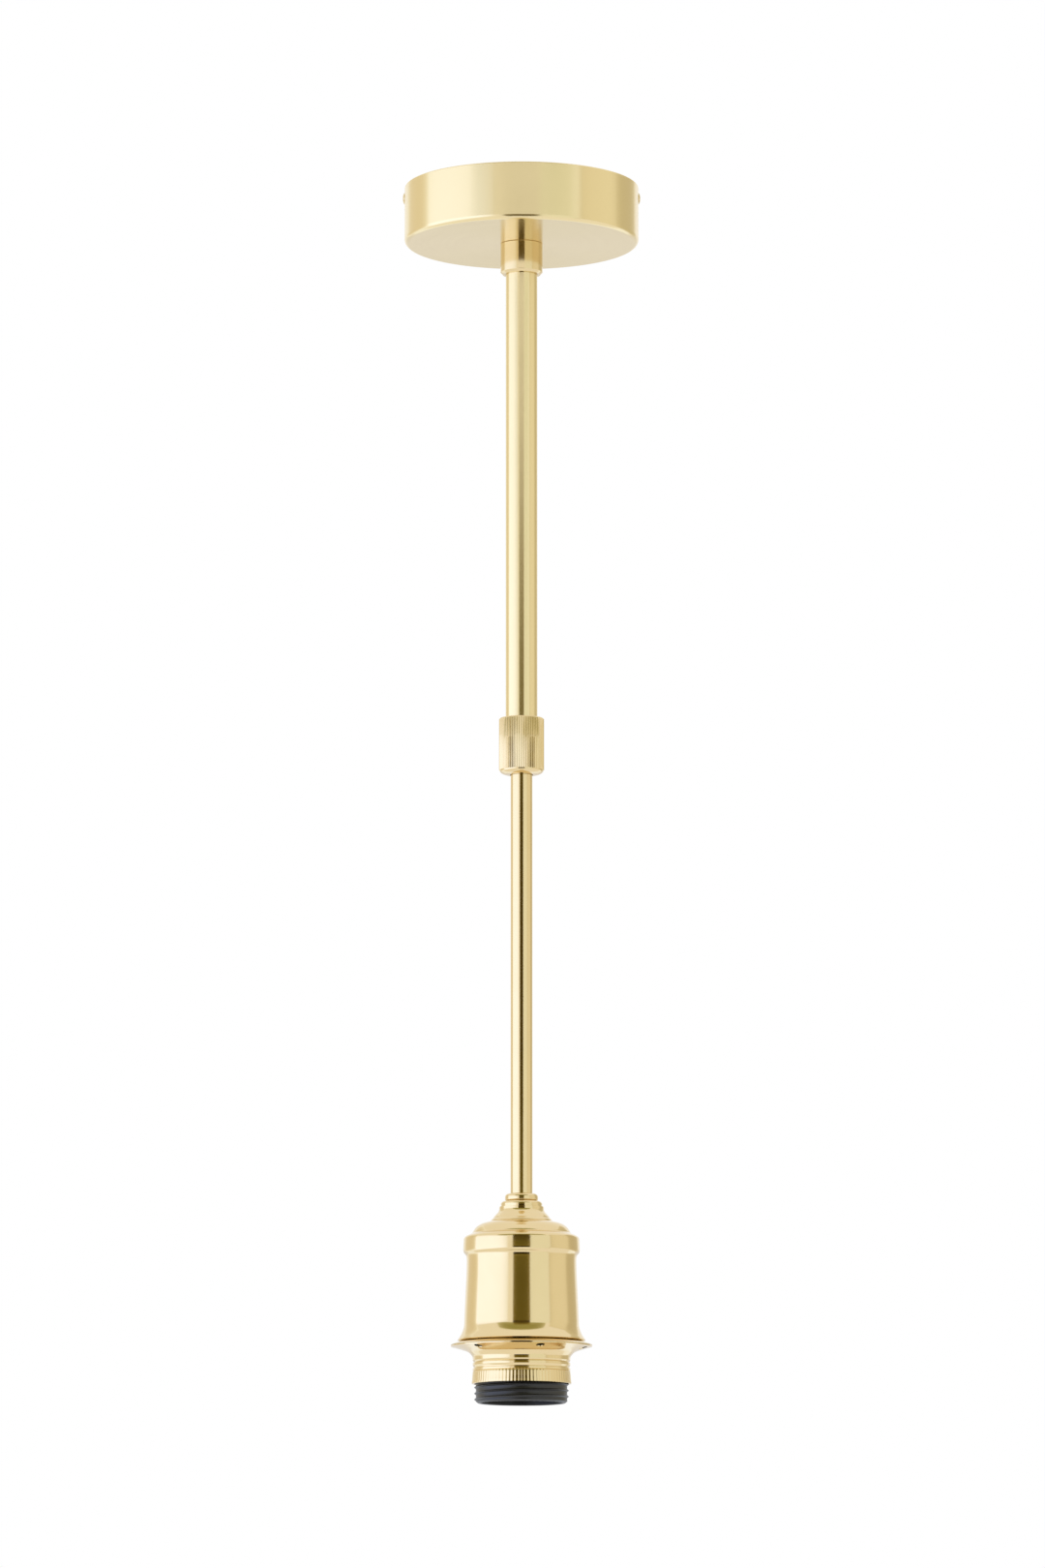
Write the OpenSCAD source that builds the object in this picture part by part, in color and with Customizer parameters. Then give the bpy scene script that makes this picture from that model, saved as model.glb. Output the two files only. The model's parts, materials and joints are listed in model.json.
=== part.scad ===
// Rise and fall pendant: ceiling rose, telescopic rod with a clamp collar, and a lampholder.
// The ceiling is the plane z = 0 and the pendant hangs down from it along the Z axis.

/* [Ceiling rose] */
// Diameter of the rose
rose_d = 100; // [90:1:130]
// Height of the rose
rose_h = 24.5; // [23.5:0.5:40]
// Wall of the rose
rose_wall = 1.2; // [0.8:0.1:1.4]
// Radius of the rose's lower edge
rose_edge_r = 2; // [1.5:0.1:4]
// Diameter of the two side screws
side_screw_d = 3; // [2.5:0.1:3.4]
// Drop of the side screws below the ceiling
side_screw_drop = 4.5; // [4.2:0.1:5.5]
// Diameter of the side screws' heads
side_head_d = 5.2; // [4.5:0.1:6]

/* [Ceiling strap] */
// Width of the strap
strap_w = 16; // [14:1:22]
// Thickness of the strap
strap_t = 2; // [1.5:0.1:2.4]
// Drop of the strap's ears below the ceiling
ear_drop = 9; // [8.5:0.5:12]
// Distance between the two ceiling slots
slot_spacing = 51; // [49:1:56]
// Length of a slot, end to end
slot_l = 12; // [8:1:14]
// Width of a slot
slot_w = 4.6; // [4:0.1:5.6]
// Place of the earth screw along the strap
earth_x = 14; // [13:0.5:14.5]
// Diameter of the earth screw and of the block's screw
small_screw_d = 3; // [2.5:0.1:3.5]

/* [Terminal block] */
// Length of the block
block_l = 27; // [26:0.5:32]
// Width of the block
block_w = 14; // [13:0.5:18]
// Height of the block
block_h = 11; // [10:0.5:12]
// Distance from the pendant's axis to the middle of the block
block_y = 26; // [25.5:0.5:27]
// Distance between two terminal tubes
tube_pitch = 9; // [8.6:0.1:9.4]
// Diameter of a terminal tube
terminal_d = 4.6; // [4.2:0.1:5]
// Bore of a terminal tube
terminal_bore = 2.8; // [2.4:0.1:3.2]

/* [Nipple and boss] */
// Outer diameter of the hollow nipple
nipple_d = 10; // [9.5:0.1:10.4]
// Bore of the hollow nipple
nipple_bore = 7; // [6:0.1:7.6]
// Length of the nipple above the rose's floor
nipple_rise = 9.8; // [9:0.1:10.5]
// Length of the nipple inside the boss
nipple_sink = 5; // [4:0.1:5.5]
// Width across the flats of the locknut
nut_flats = 14; // [13.5:0.1:16]
// Height of the locknut
nut_h = 4; // [3:0.1:4.5]
// Diameter of the cord grip
grip_d = 16; // [15:0.5:18]
// Height of the cord grip
grip_h = 8.5; // [8:0.1:9]
// Diameter of the boss under the rose
boss_d = 18; // [17:0.1:20]
// Height of the boss
boss_h = 13.3; // [12:0.1:16]
// Chamfer of the boss's lower edge
boss_chamfer = 1; // [0.4:0.1:1.5]

/* [Upper tube] */
// Outer diameter of the upper tube
tube_d = 13.5; // [13.3:0.1:14]
// Wall of the upper tube
tube_wall = 1.5; // [1.3:0.1:1.6]
// Visible length of the upper tube
tube_show = 191.6; // [185:0.2:240]
// Depth of the upper tube inside the boss
tube_sink = 7.4; // [5:0.1:7.6]
// Length of the end bush inside the upper tube
bush_sink = 14; // [8:0.5:18]
// Diameter of the end bush's thread
bush_thread_d = 15; // [14.6:0.1:15.2]
// Length of the end bush's thread
bush_thread_l = 11; // [9:0.1:12]

/* [Clamp collar] */
// Diameter of the collar over its knurl
collar_d = 19; // [18.6:0.1:20]
// Height of the collar
collar_h = 24.2; // [24:0.1:28]
// Number of knurl teeth round the collar
collar_teeth = 66; // [60:1:80]
// Depth of the knurl
knurl_depth = 0.3; // [0.2:0.05:0.4]
// Height of the collar's rounded lower end
collar_end_h = 2; // [1.6:0.1:2.4]
// Height of the collar's plain chamfer at the top
collar_top_h = 0.4; // [0.3:0.1:0.8]
// Height of the collet
collet_h = 3.4; // [3:0.1:3.6]
// Width of the collet's slit
collet_slit = 1; // [0.6:0.1:1.5]

/* [Lower rod] */
// Outer diameter of the lower rod
rod_d = 9.2; // [9:0.05:9.3]
// Wall of the lower rod
rod_wall = 1.1; // [0.9:0.05:1.3]
// Visible length of the lower rod
rod_show = 176.5; // [170:0.5:220]
// Travel of the lower rod
rise_travel = 130; // [100:1:130]
// Height of the guide bush
guide_h = 10; // [8:0.5:12]
// Height of a ring that holds the guide bush
ring_h = 1.2; // [1:0.1:1.5]

/* [Lead] */
// Diameter of the lead
lead_d = 3.2; // [2.8:0.1:3.2]
// Diameter of a single core
core_d = 1.6; // [1.2:0.1:1.8]

/* [Lampholder cover] */
// Diameter of the small nut on the ferrule
entry_nut_d = 13.9; // [13:0.1:14.5]
// Height of the small nut
entry_nut_h = 3.5; // [3:0.1:5]
// Diameter of the ferrule
ferrule_d = 17.5; // [17:0.1:18]
// Height of the ferrule
ferrule_h = 3.5; // [3:0.1:5]
// Wall of the cover
cover_wall = 0.8; // [0.6:0.05:0.9]
// Diameter at the foot of the cover's small flare
flare_d = 21.8; // [21.4:0.1:22.4]
// Drop of the small flare
flare_h = 2.1; // [1.8:0.1:2.6]
// Diameter at the foot of the cover's neck
neck_d = 24.7; // [24:0.1:26]
// Height of the neck
neck_h = 2.9; // [2.5:0.1:4]
// Drop of the flat shoulder under the neck
shoulder_h = 1.6; // [1.4:0.1:2]
// Diameter of the dome
dome_d = 40.6; // [40:0.1:41.4]
// Radius of the dome's edge
dome_r = 3.6; // [3:0.1:4]
// Drop of the step from the dome to the bead
bead_step_h = 2.6; // [2.4:0.1:3]
// Diameter of the bead
bead_d = 47.2; // [46.8:0.1:48]
// Height of the bead
bead_h = 5.5; // [5:0.1:7]
// Diameter of the body just below the bead
body_top_d = 44.3; // [44:0.1:44.8]
// Diameter of the body at the top of the flared lip
body_bottom_d = 46.5; // [46:0.1:47]
// Height of the body
body_h = 29.1; // [28.5:0.1:36]
// Diameter of the lip
lip_d = 52.2; // [51:0.1:53]
// Height of the flared lip
lip_h = 6.4; // [5.6:0.1:8]

/* [Lampholder] */
// Diameter over the crests of the skirt's thread
skirt_d = 39.5; // [39.3:0.1:39.6]
// Depth of the skirt's thread
thread_depth = 0.7; // [0.4:0.05:0.8]
// Pitch of the skirt's thread
thread_pitch = 2.5; // [2:0.1:3]
// Bore of the skirt
skirt_bore = 34.4; // [34.2:0.1:34.8]
// Drop of the skirt's mouth below the cover's lip
skirt_drop = 25.8; // [24:0.1:30]
// Diameter of the cap inside the cover
cap_d = 37.2; // [36:0.1:38]
// Outer diameter of the ceramic carrier
carrier_d = 30.8; // [30.4:0.1:31]
// Height of the carrier's solid top
carrier_top_h = 14; // [13:0.5:15]
// Inner diameter of the screw shell
shell_bore = 26.4; // [26:0.05:26.5]
// Wall of the screw shell
shell_wall = 0.5; // [0.3:0.05:0.6]
// Inner diameter of the shell's plain top, round the centre contact
shell_top_bore = 23.4; // [23:0.1:24]
// Length of the screw shell
shell_l = 33; // [28:0.5:33]
// Travel of the sprung centre contact
contact_travel = 1.5; // [0.5:0.1:1.6]

/* [Gallery ring] */
// Diameter of the flange
flange_d = 59.2; // [58:0.1:61]
// Thickness of the clamp washer
washer_t = 0.8; // [0.6:0.05:0.9]
// Fall of the clamp washer from the lip to its rim
washer_fall = 1.5; // [1.3:0.1:1.7]
// Height of the trumpet from the rim to the neck
trumpet_h = 5.6; // [5:0.1:6.4]
// Height of the ring's neck
ring_neck_h = 5.2; // [4.6:0.1:5.6]
// Height of the knurled band
band_h = 5.2; // [4:0.1:5.4]
// Diameter of the neck
ring_neck_d = 40.2; // [40.1:0.1:40.8]
// Diameter of the knurled band
band_d = 40.9; // [40.6:0.1:41.6]
// Number of knurl teeth round the band
band_teeth = 80; // [60:1:96]
// Depth of the band's knurl
band_knurl = 0.2; // [0.1:0.05:0.25]
// Number of vent holes
vent_count = 6; // [3:1:8]
// Diameter of a vent hole
vent_d = 3.6; // [2.4:0.1:3.8]
// Distance from the flange's rim to the middle of a vent hole
vent_inset = 3.3; // [3:0.1:3.8]

/* [Clearances] */
// Radial clearance of a fixed fit, such as a thread
fit_gap = 0.05; // [0.02:0.01:0.08]
// Radial clearance of a running fit
run_gap = 0.05; // [0.02:0.01:0.08]
// Gap between two pieces that come apart
seat_gap = 0.2; // [0.1:0.05:0.25]
// Clearance of a hole round a screw or a lead
hole_gap = 0.2; // [0.1:0.05:0.25]

/* [Hidden] */
$fn = 96;

// overshoot of a cut beyond the face it opens
cut = 1;
// number of steps in a quarter of an arc
arc_steps = 6;

// fall from the bead's lower edge to the body
bead_fall = 1.6;
// levels down the pendant
z_rose = -rose_h;
z_floor = z_rose + rose_wall;
z_boss = z_rose - boss_h;
z_collar_top = z_boss - tube_show;
z_collar = z_collar_top - collar_h;
z_entry_nut = z_collar - rod_show;
z_ferrule = z_entry_nut - entry_nut_h;
z_cover = z_ferrule - ferrule_h;
z_neck = z_cover - flare_h - neck_h;
z_dome = z_neck - shoulder_h - dome_r;
z_bead = z_dome - bead_step_h;
z_body = z_bead - bead_h;
z_lip_top = z_body - bead_fall - body_h;
z_lip = z_lip_top - lip_h;
z_mouth = z_lip - skirt_drop;

// strap and side screws
rose_inner_r = rose_d / 2 - rose_wall;
ear_x = sqrt(pow(rose_inner_r, 2) - pow(strap_w / 2, 2)) - seat_gap;
side_head_h = 1.4;
side_screw_l = strap_t + rose_d / 2 - ear_x + 1;
tab_w = 14;
tab_end_y = block_y + block_w / 2 + 1;

// terminal block
screw_head_d = 2 * small_screw_d;
screw_head_h = 1.8;
block_z = -strap_t - block_h;
terminal_z = block_z + block_h * 0.42;
terminal_x = [for (i = [-1:1]) i * tube_pitch];
block_screw_x = tube_pitch / 2;
clamp_screw_d = 2.5;
clamp_screw_offset = block_w / 4;
earth_washer_t = 0.8;
earth_head_h = 2.2;

// nipple stack, upwards from the rose's floor
washer_lock_t = 0.8;
z_nut = z_floor + washer_lock_t;
z_grip = z_nut + nut_h + seat_gap;
z_grip_top = z_grip + grip_h;
z_nipple_top = z_floor + nipple_rise;
z_nipple = z_rose - nipple_sink;
z_grip_screw = (z_nipple_top + z_grip_top) / 2;
z_lead_top = z_grip_top + 1;
grip_head_d = 3;
grip_head_h = 1;

// upper tube, end bush and collar
tube_bore = tube_d - 2 * tube_wall;
z_tube_top = z_boss + tube_sink;
loosen_turns = 1.5;
collar_pitch = 1;
collar_drop = loosen_turns * collar_pitch;
collar_bore = bush_thread_d + 2 * fit_gap;
collar_neck_h = 3.4;
z_collar_shoulder = z_collar_top - collar_neck_h;
z_tube = z_collar_shoulder - collar_drop - 2 * seat_gap;
z_bush_thread = z_tube - bush_thread_l;
z_bush_top = z_tube + bush_sink;
z_collet_top = z_bush_thread - fit_gap;
z_collet = z_collet_top - collet_h;
z_collar_floor = z_collar + 2.3;
// step from the root of the knurl down to the collar's plain ends
plain_step = 0.05;
// flat rim round the rod's hole in the collar's rounded end
end_land = 0.4;
thrust_clearance = 0.1;
z_thrust = z_collar_floor + thrust_clearance;
z_thrust_top = z_collet_top - 0.8;
thrust_outer_d = collar_bore - 0.4;
rod_hole_d = rod_d + 3 * hole_gap;
collet_d = bush_thread_d - 1.6;
collet_slope = 0.38;
rod_slide_d = rod_d + 2 * run_gap;

// lower rod, its guide bush and rings
z_ring_low = z_bush_top + 1.5 * seat_gap;
z_guide = z_ring_low + ring_h + seat_gap;
z_ring_high = z_guide + guide_h + seat_gap;
z_rod_top = z_ring_high + ring_h + 0.9;
guide_d = tube_bore - 2 * run_gap;
rod_bore = rod_d - 2 * rod_wall;

// lead
z_curl_top = z_boss - 2;
z_curl = z_rod_top + 2;
curl_r = (tube_bore - lead_d) / 2 - fit_gap * 3;
// turns that still lie beside each other when the rod is right up
curl_turns = floor((z_curl_top - z_curl - rise_travel) / (lead_d + 2 * fit_gap));
curl_steps = 10;
// straight end of the curl, square to the lead that it meets
curl_end = 2;
lead_sides = 8;

// cover
cover_hole_d = rod_d + 2 * hole_gap;
bead_round = 1.2;
bead_bulge = 0.15;
bead_foot_in = 0.3;
lip_curve = 1.5;

// lampholder
z_cap = z_cover - cover_wall;
cap_boss_d = 15.6;
cap_boss_fillet = 1.2;
cap_shoulder_in = 4.5;
cap_shoulder_h = 6;
cap_edge = 0.4;
z_cap_roof = z_dome + 1;
cap_wall = 3;
z_cap_inside = z_cap_roof - cap_wall;
z_lead_end = z_cap_inside - 0.5;
rod_grip = 1;
z_rod = z_cap_inside + rod_grip;
wiring_room = 13.6;
z_carrier = z_cap_roof - wiring_room;
carrier_overlap = 10;
z_skirt_top = z_carrier - carrier_overlap;
spigot_h = 7;
spigot_d = skirt_bore - 2 * fit_gap;
cap_bore = carrier_d + 2 * fit_gap;
z_shell = z_carrier - carrier_top_h;
shell_proud = 4;
carrier_cup_h = shell_l - shell_proud;
shell_d = shell_bore + 2 * shell_wall;
carrier_cup_bore = shell_d + 2 * fit_gap;
terminal_w = 5;
terminal_h = 6;
terminal_r = 7;
terminal_floor = 1.5;
terminal_head_d = 3.4;
terminal_head_h = 1.2;
rivet_d = 2.4;
rivet_l = 5.5;
rivet_room = 0.5;
rivet_r = 9;
rivet_head_d = 4;
rivet_head_h = 0.8;
contact_d = 8;
contact_t = 1;
contact_room = 0.7;
z_contact = z_shell - shell_wall - rivet_head_h - contact_room - contact_travel - contact_t;
z_thread = z_contact + shell_wall - seat_gap;
stem_d = 3;
stem_l = 7.5;
spring_wire = 0.5;
spring_r = stem_d / 2 + spring_wire / 2 + 0.15;
spring_bore = 2 * (spring_r + spring_wire / 2) + 2 * hole_gap;
spring_pocket = 8;
z_spring_top = z_shell + spring_pocket;
spring_turns = 6;
mouth_chamfer = 0.9;

// gallery ring and clamp washer
z_washer = z_lip - seat_gap;
z_rim = z_washer - washer_fall;
z_flange = z_rim - seat_gap / 2;
ring_bore = skirt_d + 2 * run_gap;
z_neck_top = z_flange - trumpet_h;
z_band = z_neck_top - ring_neck_h;
z_ring = z_band - band_h;
ring_wall = 0.7;
rim_round = 0.25;
trumpet_curve = 2.2;
vent_angle = 17.2;
vent_circle_d = flange_d - 2 * vent_inset;

// routes of the cores, from the lead's end to their terminals
core_start = 0.9;

function unit(v) = v / norm(v);
// points of an elliptical arc, from angle a0 to angle a1
function arc_pts(cx, cz, rx, rz, a0, a1, steps) =
    [for (i = [0:steps]) let (a = a0 + (a1 - a0) * i / steps) [cx + rx * cos(a), cz + rz * sin(a)]];
function tangent(p, i) =
    i == 0 ? unit(p[1] - p[0]) :
    i == len(p) - 1 ? unit(p[i] - p[i - 1]) : unit(p[i + 1] - p[i - 1]);
function ring_pts(c, t, side, r, n) =
    let (u = unit(side - (side * t) * t), v = cross(t, u))
    [for (k = [0:n - 1]) c + r * (cos(360 * k / n) * u + sin(360 * k / n) * v)];
// a point on a curl whose radius grows from nothing and falls back to nothing at its ends
function curl_ease(turn, turns) = min(1, turn / 0.5, (turns - turn) / 0.5);
function curl_pts(r, z0, z1, turns, steps) =
    [for (i = [0:turns * steps])
        let (a = 360 * i / steps, e = curl_ease(i / steps, turns))
        [r * e * cos(a), r * e * sin(a), z0 + (z1 - z0) * i / (turns * steps)]];
function curl_sides(turns, steps, ends = 0) =
    [for (i = [-ends:turns * steps + ends]) let (a = 360 * i / steps) [cos(a), sin(a), 0]];

// a round strand along a route; side gives a direction across the route at each point
module strand(p, side, d, n) {
    rings = [for (i = [0:len(p) - 1]) ring_pts(p[i], tangent(p, i), side[i], d / 2, n)];
    last = len(p) - 1;
    walls = [for (i = [0:last - 1]) for (k = [0:n - 1])
        let (a = i * n + k, b = i * n + (k + 1) % n)
        each [[a, b, b + n], [a, b + n, a + n]]];
    near_end = [[for (k = [0:n - 1]) n - 1 - k]];
    far_end = [[for (k = [0:n - 1]) last * n + k]];
    polyhedron(
        points = [for (r = rings) for (q = r) q],
        faces = [for (f = concat(near_end, walls, far_end)) [for (k = [len(f) - 1:-1:0]) f[k]]],
        convexity = 8);
}

// a round bar between two levels
module bar(z_hi, z_lo, d) translate([0, 0, z_lo]) cylinder(h = z_hi - z_lo, d = d);

// a round tube between two levels
module pipe(z_hi, z_lo, d_out, d_in) {
    difference() {
        bar(z_hi, z_lo, d_out);
        bar(z_hi + cut, z_lo - cut, d_in);
    }
}

// a ring with a straight knurl on its outside
module knurled(z_hi, z_lo, d, depth, teeth) {
    translate([0, 0, z_lo])
        linear_extrude(z_hi - z_lo)
            polygon([for (i = [0:2 * teeth - 1])
                let (r = d / 2 - (i % 2) * depth, a = 180 * i / teeth) [r * cos(a), r * sin(a)]]);
}

module turned(points) rotate_extrude() polygon(points);

// ---- ceiling side ----

module rose_cup() color("goldenrod") {
    r = rose_d / 2;
    difference() {
        turned(concat(
            [[nipple_d / 2 + hole_gap, z_rose]],
            arc_pts(r - rose_edge_r, z_rose + rose_edge_r, rose_edge_r, rose_edge_r, -90, 0, arc_steps),
            [[r, 0], [r - rose_wall, 0]],
            arc_pts(r - rose_edge_r, z_rose + rose_edge_r, rose_edge_r - rose_wall, rose_edge_r - rose_wall,
                0, -90, arc_steps),
            [[nipple_d / 2 + hole_gap, z_floor]]));
        for (side = [-1, 1])
            translate([side * r, 0, -side_screw_drop])
                rotate([0, 90, 0])
                    cylinder(h = 4 * rose_wall, d = side_screw_d + 2 * hole_gap, center = true);
    }
}

module slot_hole(l, w, h) {
    for (side = [-1, 1])
        translate([side * (l - w) / 2, 0, 0])
            cylinder(h = h, d = w);
    translate([-(l - w) / 2, -w / 2, 0])
        cube([l - w, w, h]);
}

module mounting_bracket() color("silver") {
    difference() {
        union() {
            translate([-ear_x, -strap_w / 2, -strap_t])
                cube([2 * ear_x, strap_w, strap_t]);
            translate([-tab_w / 2, 0, -strap_t])
                cube([tab_w, tab_end_y, strap_t]);
            for (side = [-1, 1])
                translate([side * (ear_x - strap_t / 2) - strap_t / 2, -strap_w / 2, -ear_drop])
                    cube([strap_t, strap_w, ear_drop]);
        }
        for (side = [-1, 1]) {
            translate([side * slot_spacing / 2, 0, -strap_t - cut])
                slot_hole(slot_l, slot_w, strap_t + 2 * cut);
            translate([side * ear_x, 0, -side_screw_drop])
                rotate([0, 90, 0])
                    cylinder(h = 4 * strap_t, d = side_screw_d + 2 * fit_gap, center = true);
        }
        translate([earth_x, 0, -strap_t - cut])
            cylinder(h = strap_t + 2 * cut, d = small_screw_d + 2 * fit_gap);
        translate([block_screw_x, block_y, -strap_t - cut])
            cylinder(h = strap_t + 2 * cut, d = small_screw_d + 2 * fit_gap);
    }
}

module rose_side_screws() color("goldenrod") {
    for (side = [-1, 1])
        translate([side * rose_d / 2, 0, -side_screw_drop])
            rotate([0, side * 90, 0]) {
                translate([0, 0, -side_screw_l])
                    cylinder(h = side_screw_l, d = side_screw_d);
                intersection() {
                    cylinder(h = side_head_h, d = side_head_d);
                    translate([0, 0, side_head_h - side_head_d])
                        sphere(r = side_head_d);
                }
            }
}

module terminal_block() color("white") {
    difference() {
        translate([-block_l / 2, block_y - block_w / 2, block_z])
            cube([block_l, block_w, block_h]);
        for (x = terminal_x) {
            translate([x, block_y, terminal_z])
                rotate([90, 0, 0])
                    cylinder(h = block_w + 2 * cut, d = terminal_d + 2 * fit_gap, center = true);
            for (side = [-1, 1])
                translate([x, block_y + side * clamp_screw_offset, block_z - cut])
                    cylinder(h = terminal_z - block_z + cut, d = clamp_screw_d + 4 * hole_gap);
        }
        translate([block_screw_x, block_y, block_z - cut])
            cylinder(h = block_h + 2 * cut, d = small_screw_d + 2 * fit_gap);
        translate([block_screw_x, block_y, block_z - cut])
            cylinder(h = screw_head_h + cut, d = clamp_screw_d + 2 * hole_gap);
    }
}

module terminal_tubes() color("gold") {
    tube_l = block_w - 2 * cut;
    for (x = terminal_x)
        translate([x, block_y, terminal_z])
            difference() {
                rotate([90, 0, 0])
                    cylinder(h = tube_l, d = terminal_d, center = true);
                rotate([90, 0, 0])
                    cylinder(h = tube_l + 2 * cut, d = terminal_bore, center = true);
                for (side = [-1, 1])
                    translate([0, side * clamp_screw_offset, -terminal_d])
                        cylinder(h = terminal_d, d = clamp_screw_d + 2 * fit_gap);
            }
}

module terminal_screws() color("silver") {
    tip_z = terminal_z - (terminal_bore - core_d) / 2;
    for (x = terminal_x)
        for (side = [-1, 1])
            translate([x, block_y + side * clamp_screw_offset, block_z + cut])
                cylinder(h = tip_z - core_d / 2 - fit_gap - block_z - cut, d = clamp_screw_d);
}

module block_screw() color("silver") {
    translate([block_screw_x, block_y, block_z + fit_gap])
        cylinder(h = block_h + strap_t - 4 * fit_gap, d = small_screw_d);
}

module earth_screw() color("silver") {
    translate([earth_x, 0, -strap_t - earth_washer_t - earth_head_h])
        cylinder(h = earth_head_h, d = screw_head_d);
    translate([earth_x, 0, -strap_t - earth_washer_t])
        cylinder(h = strap_t + earth_washer_t - 2 * fit_gap, d = small_screw_d);
}

module earth_washer() color("silver") {
    translate([earth_x, 0, 0])
        pipe(-strap_t, -strap_t - earth_washer_t, screw_head_d + 1, small_screw_d + 2 * fit_gap);
}

// ends of the cores at the terminal tubes' mouths
core_end_y = block_y - block_w / 2 + 3;
earth_head_z = -strap_t - earth_washer_t - earth_head_h / 2;

module earth_link() color("yellowgreen") {
    route = [
        [earth_x + screw_head_d / 2 - core_d / 4, 4, earth_head_z], [earth_x + 3, 8, earth_head_z - 1],
        [earth_x + 1, 12, terminal_z + 1.5], [terminal_x[2] + 2, 15, terminal_z + 0.5],
        [terminal_x[2], 18, terminal_z], [terminal_x[2], core_end_y, terminal_z]
    ];
    start = [[earth_x + 1, screw_head_d / 2 + core_d / 2 + fit_gap, earth_head_z]];
    strand(concat(start, route), [for (i = [0:len(route)]) [0, 0, 1]], core_d, lead_sides);
}

module brown_core() color("saddlebrown") {
    route = [
        [0, core_start, z_lead_top], [0, core_start, z_lead_top + core_d / 2],
        [-0.8, 2.4, z_lead_top + core_d], [-4, 8, z_lead_top + core_d],
        [-7, 12, (terminal_z + z_lead_top) / 2 + 0.6],
        [terminal_x[0] + 0.4, 16, terminal_z], [terminal_x[0], 18.5, terminal_z],
        [terminal_x[0], core_end_y, terminal_z]
    ];
    strand(route, [for (i = [0:len(route) - 1]) [1, 0, 0]], core_d, lead_sides);
}

module blue_core() color("royalblue") {
    route = [
        [0, -core_start, z_lead_top], [0, -core_start, z_lead_top + core_d / 2],
        [1.8, -0.4, z_lead_top + core_d], [3.4, 4, z_lead_top + core_d],
        [2, 10, (terminal_z + z_lead_top) / 2 + 0.6],
        [terminal_x[1] + 0.3, 15, terminal_z], [terminal_x[1], 18, terminal_z],
        [terminal_x[1], core_end_y, terminal_z]
    ];
    strand(route, [for (i = [0:len(route) - 1]) [1, 0, 0]], core_d, lead_sides);
}

module cord_grip() color("ivory") {
    difference() {
        bar(z_grip_top, z_grip, grip_d);
        bar(z_nipple_top + fit_gap, z_grip - cut, nipple_d + 2 * fit_gap);
        bar(z_grip_top + cut, z_grip, lead_d + 2 * hole_gap);
        translate([0, 0, z_grip_screw])
            rotate([0, 90, 0])
                cylinder(h = grip_d + 2 * cut, d = clamp_screw_d - 0.5 + 2 * fit_gap, center = true);
    }
}

module grip_screws() color("silver") {
    for (side = [-1, 1])
        translate([0, 0, z_grip_screw])
            rotate([0, side * 90, 0]) {
                translate([0, 0, lead_d / 2 + fit_gap])
                    cylinder(h = (grip_d - lead_d) / 2 + fit_gap, d = clamp_screw_d - 0.5);
                translate([0, 0, grip_d / 2 + 2 * fit_gap])
                    cylinder(h = grip_head_h, d = grip_head_d);
            }
}

module hollow_nipple() color("gold") pipe(z_nipple_top, z_nipple, nipple_d, nipple_bore);

module nipple_locknut() color("gold") {
    translate([0, 0, z_nut])
        difference() {
            cylinder(h = nut_h, d = nut_flats / cos(30), $fn = 6);
            translate([0, 0, -cut])
                cylinder(h = nut_h + 2 * cut, d = nipple_d + 2 * fit_gap);
        }
}

module star_washer() color("silver") pipe(z_nut, z_floor, nut_flats + 4, nipple_d + 2 * hole_gap);

module stem_boss() color("gold") {
    turned([
        [nipple_d / 2 + fit_gap, z_rose], [boss_d / 2, z_rose], [boss_d / 2, z_boss + boss_chamfer],
        [boss_d / 2 - boss_chamfer, z_boss], [tube_d / 2 + fit_gap, z_boss],
        [tube_d / 2 + fit_gap, z_tube_top], [nipple_bore / 2, z_tube_top], [nipple_bore / 2, z_nipple],
        [nipple_d / 2 + fit_gap, z_nipple]
    ]);
}

module upper_tube() color("goldenrod") pipe(z_tube_top, z_tube, tube_d, tube_bore);

module tube_end_bush() color("gold") {
    shank_d = tube_bore - 2 * fit_gap;
    turned([
        [rod_slide_d / 2, z_bush_top], [shank_d / 2, z_bush_top], [shank_d / 2, z_tube],
        [bush_thread_d / 2, z_tube], [bush_thread_d / 2, z_bush_thread], [rod_slide_d / 2, z_bush_thread]
    ]);
}

module collet() color("gold") {
    difference() {
        turned([
            [rod_slide_d / 2, z_collet_top], [collet_d / 2, z_collet_top],
            [collet_d / 2, z_collet_top - 0.8], [collet_d / 2 - collet_h * collet_slope, z_collet],
            [rod_slide_d / 2, z_collet]
        ]);
        translate([0, -collet_slit / 2, z_collet - cut])
            cube([collet_d, collet_slit, collet_h + 2 * cut]);
    }
}

module upper_lead() color("black") bar(z_lead_top, z_curl_top, lead_d);

module curled_lead() color("black") {
    turns = curl_pts(curl_r, z_curl_top - curl_end, z_curl + curl_end, curl_turns, curl_steps);
    strand(concat([[0, 0, z_curl_top]], turns, [[0, 0, z_curl]]),
        curl_sides(curl_turns, curl_steps, 1), lead_d, lead_sides);
}

// ---- clamp collar ----

module thrust_ring() color("ivory") {
    turned([
        [rod_hole_d / 2, z_thrust], [thrust_outer_d / 2, z_thrust], [thrust_outer_d / 2, z_thrust_top],
        [collet_d / 2 + seat_gap, z_thrust_top],
        [collet_d / 2 - collet_h * collet_slope + seat_gap, z_collet],
        [rod_hole_d / 2, z_collet - seat_gap]
    ]);
}

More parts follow.
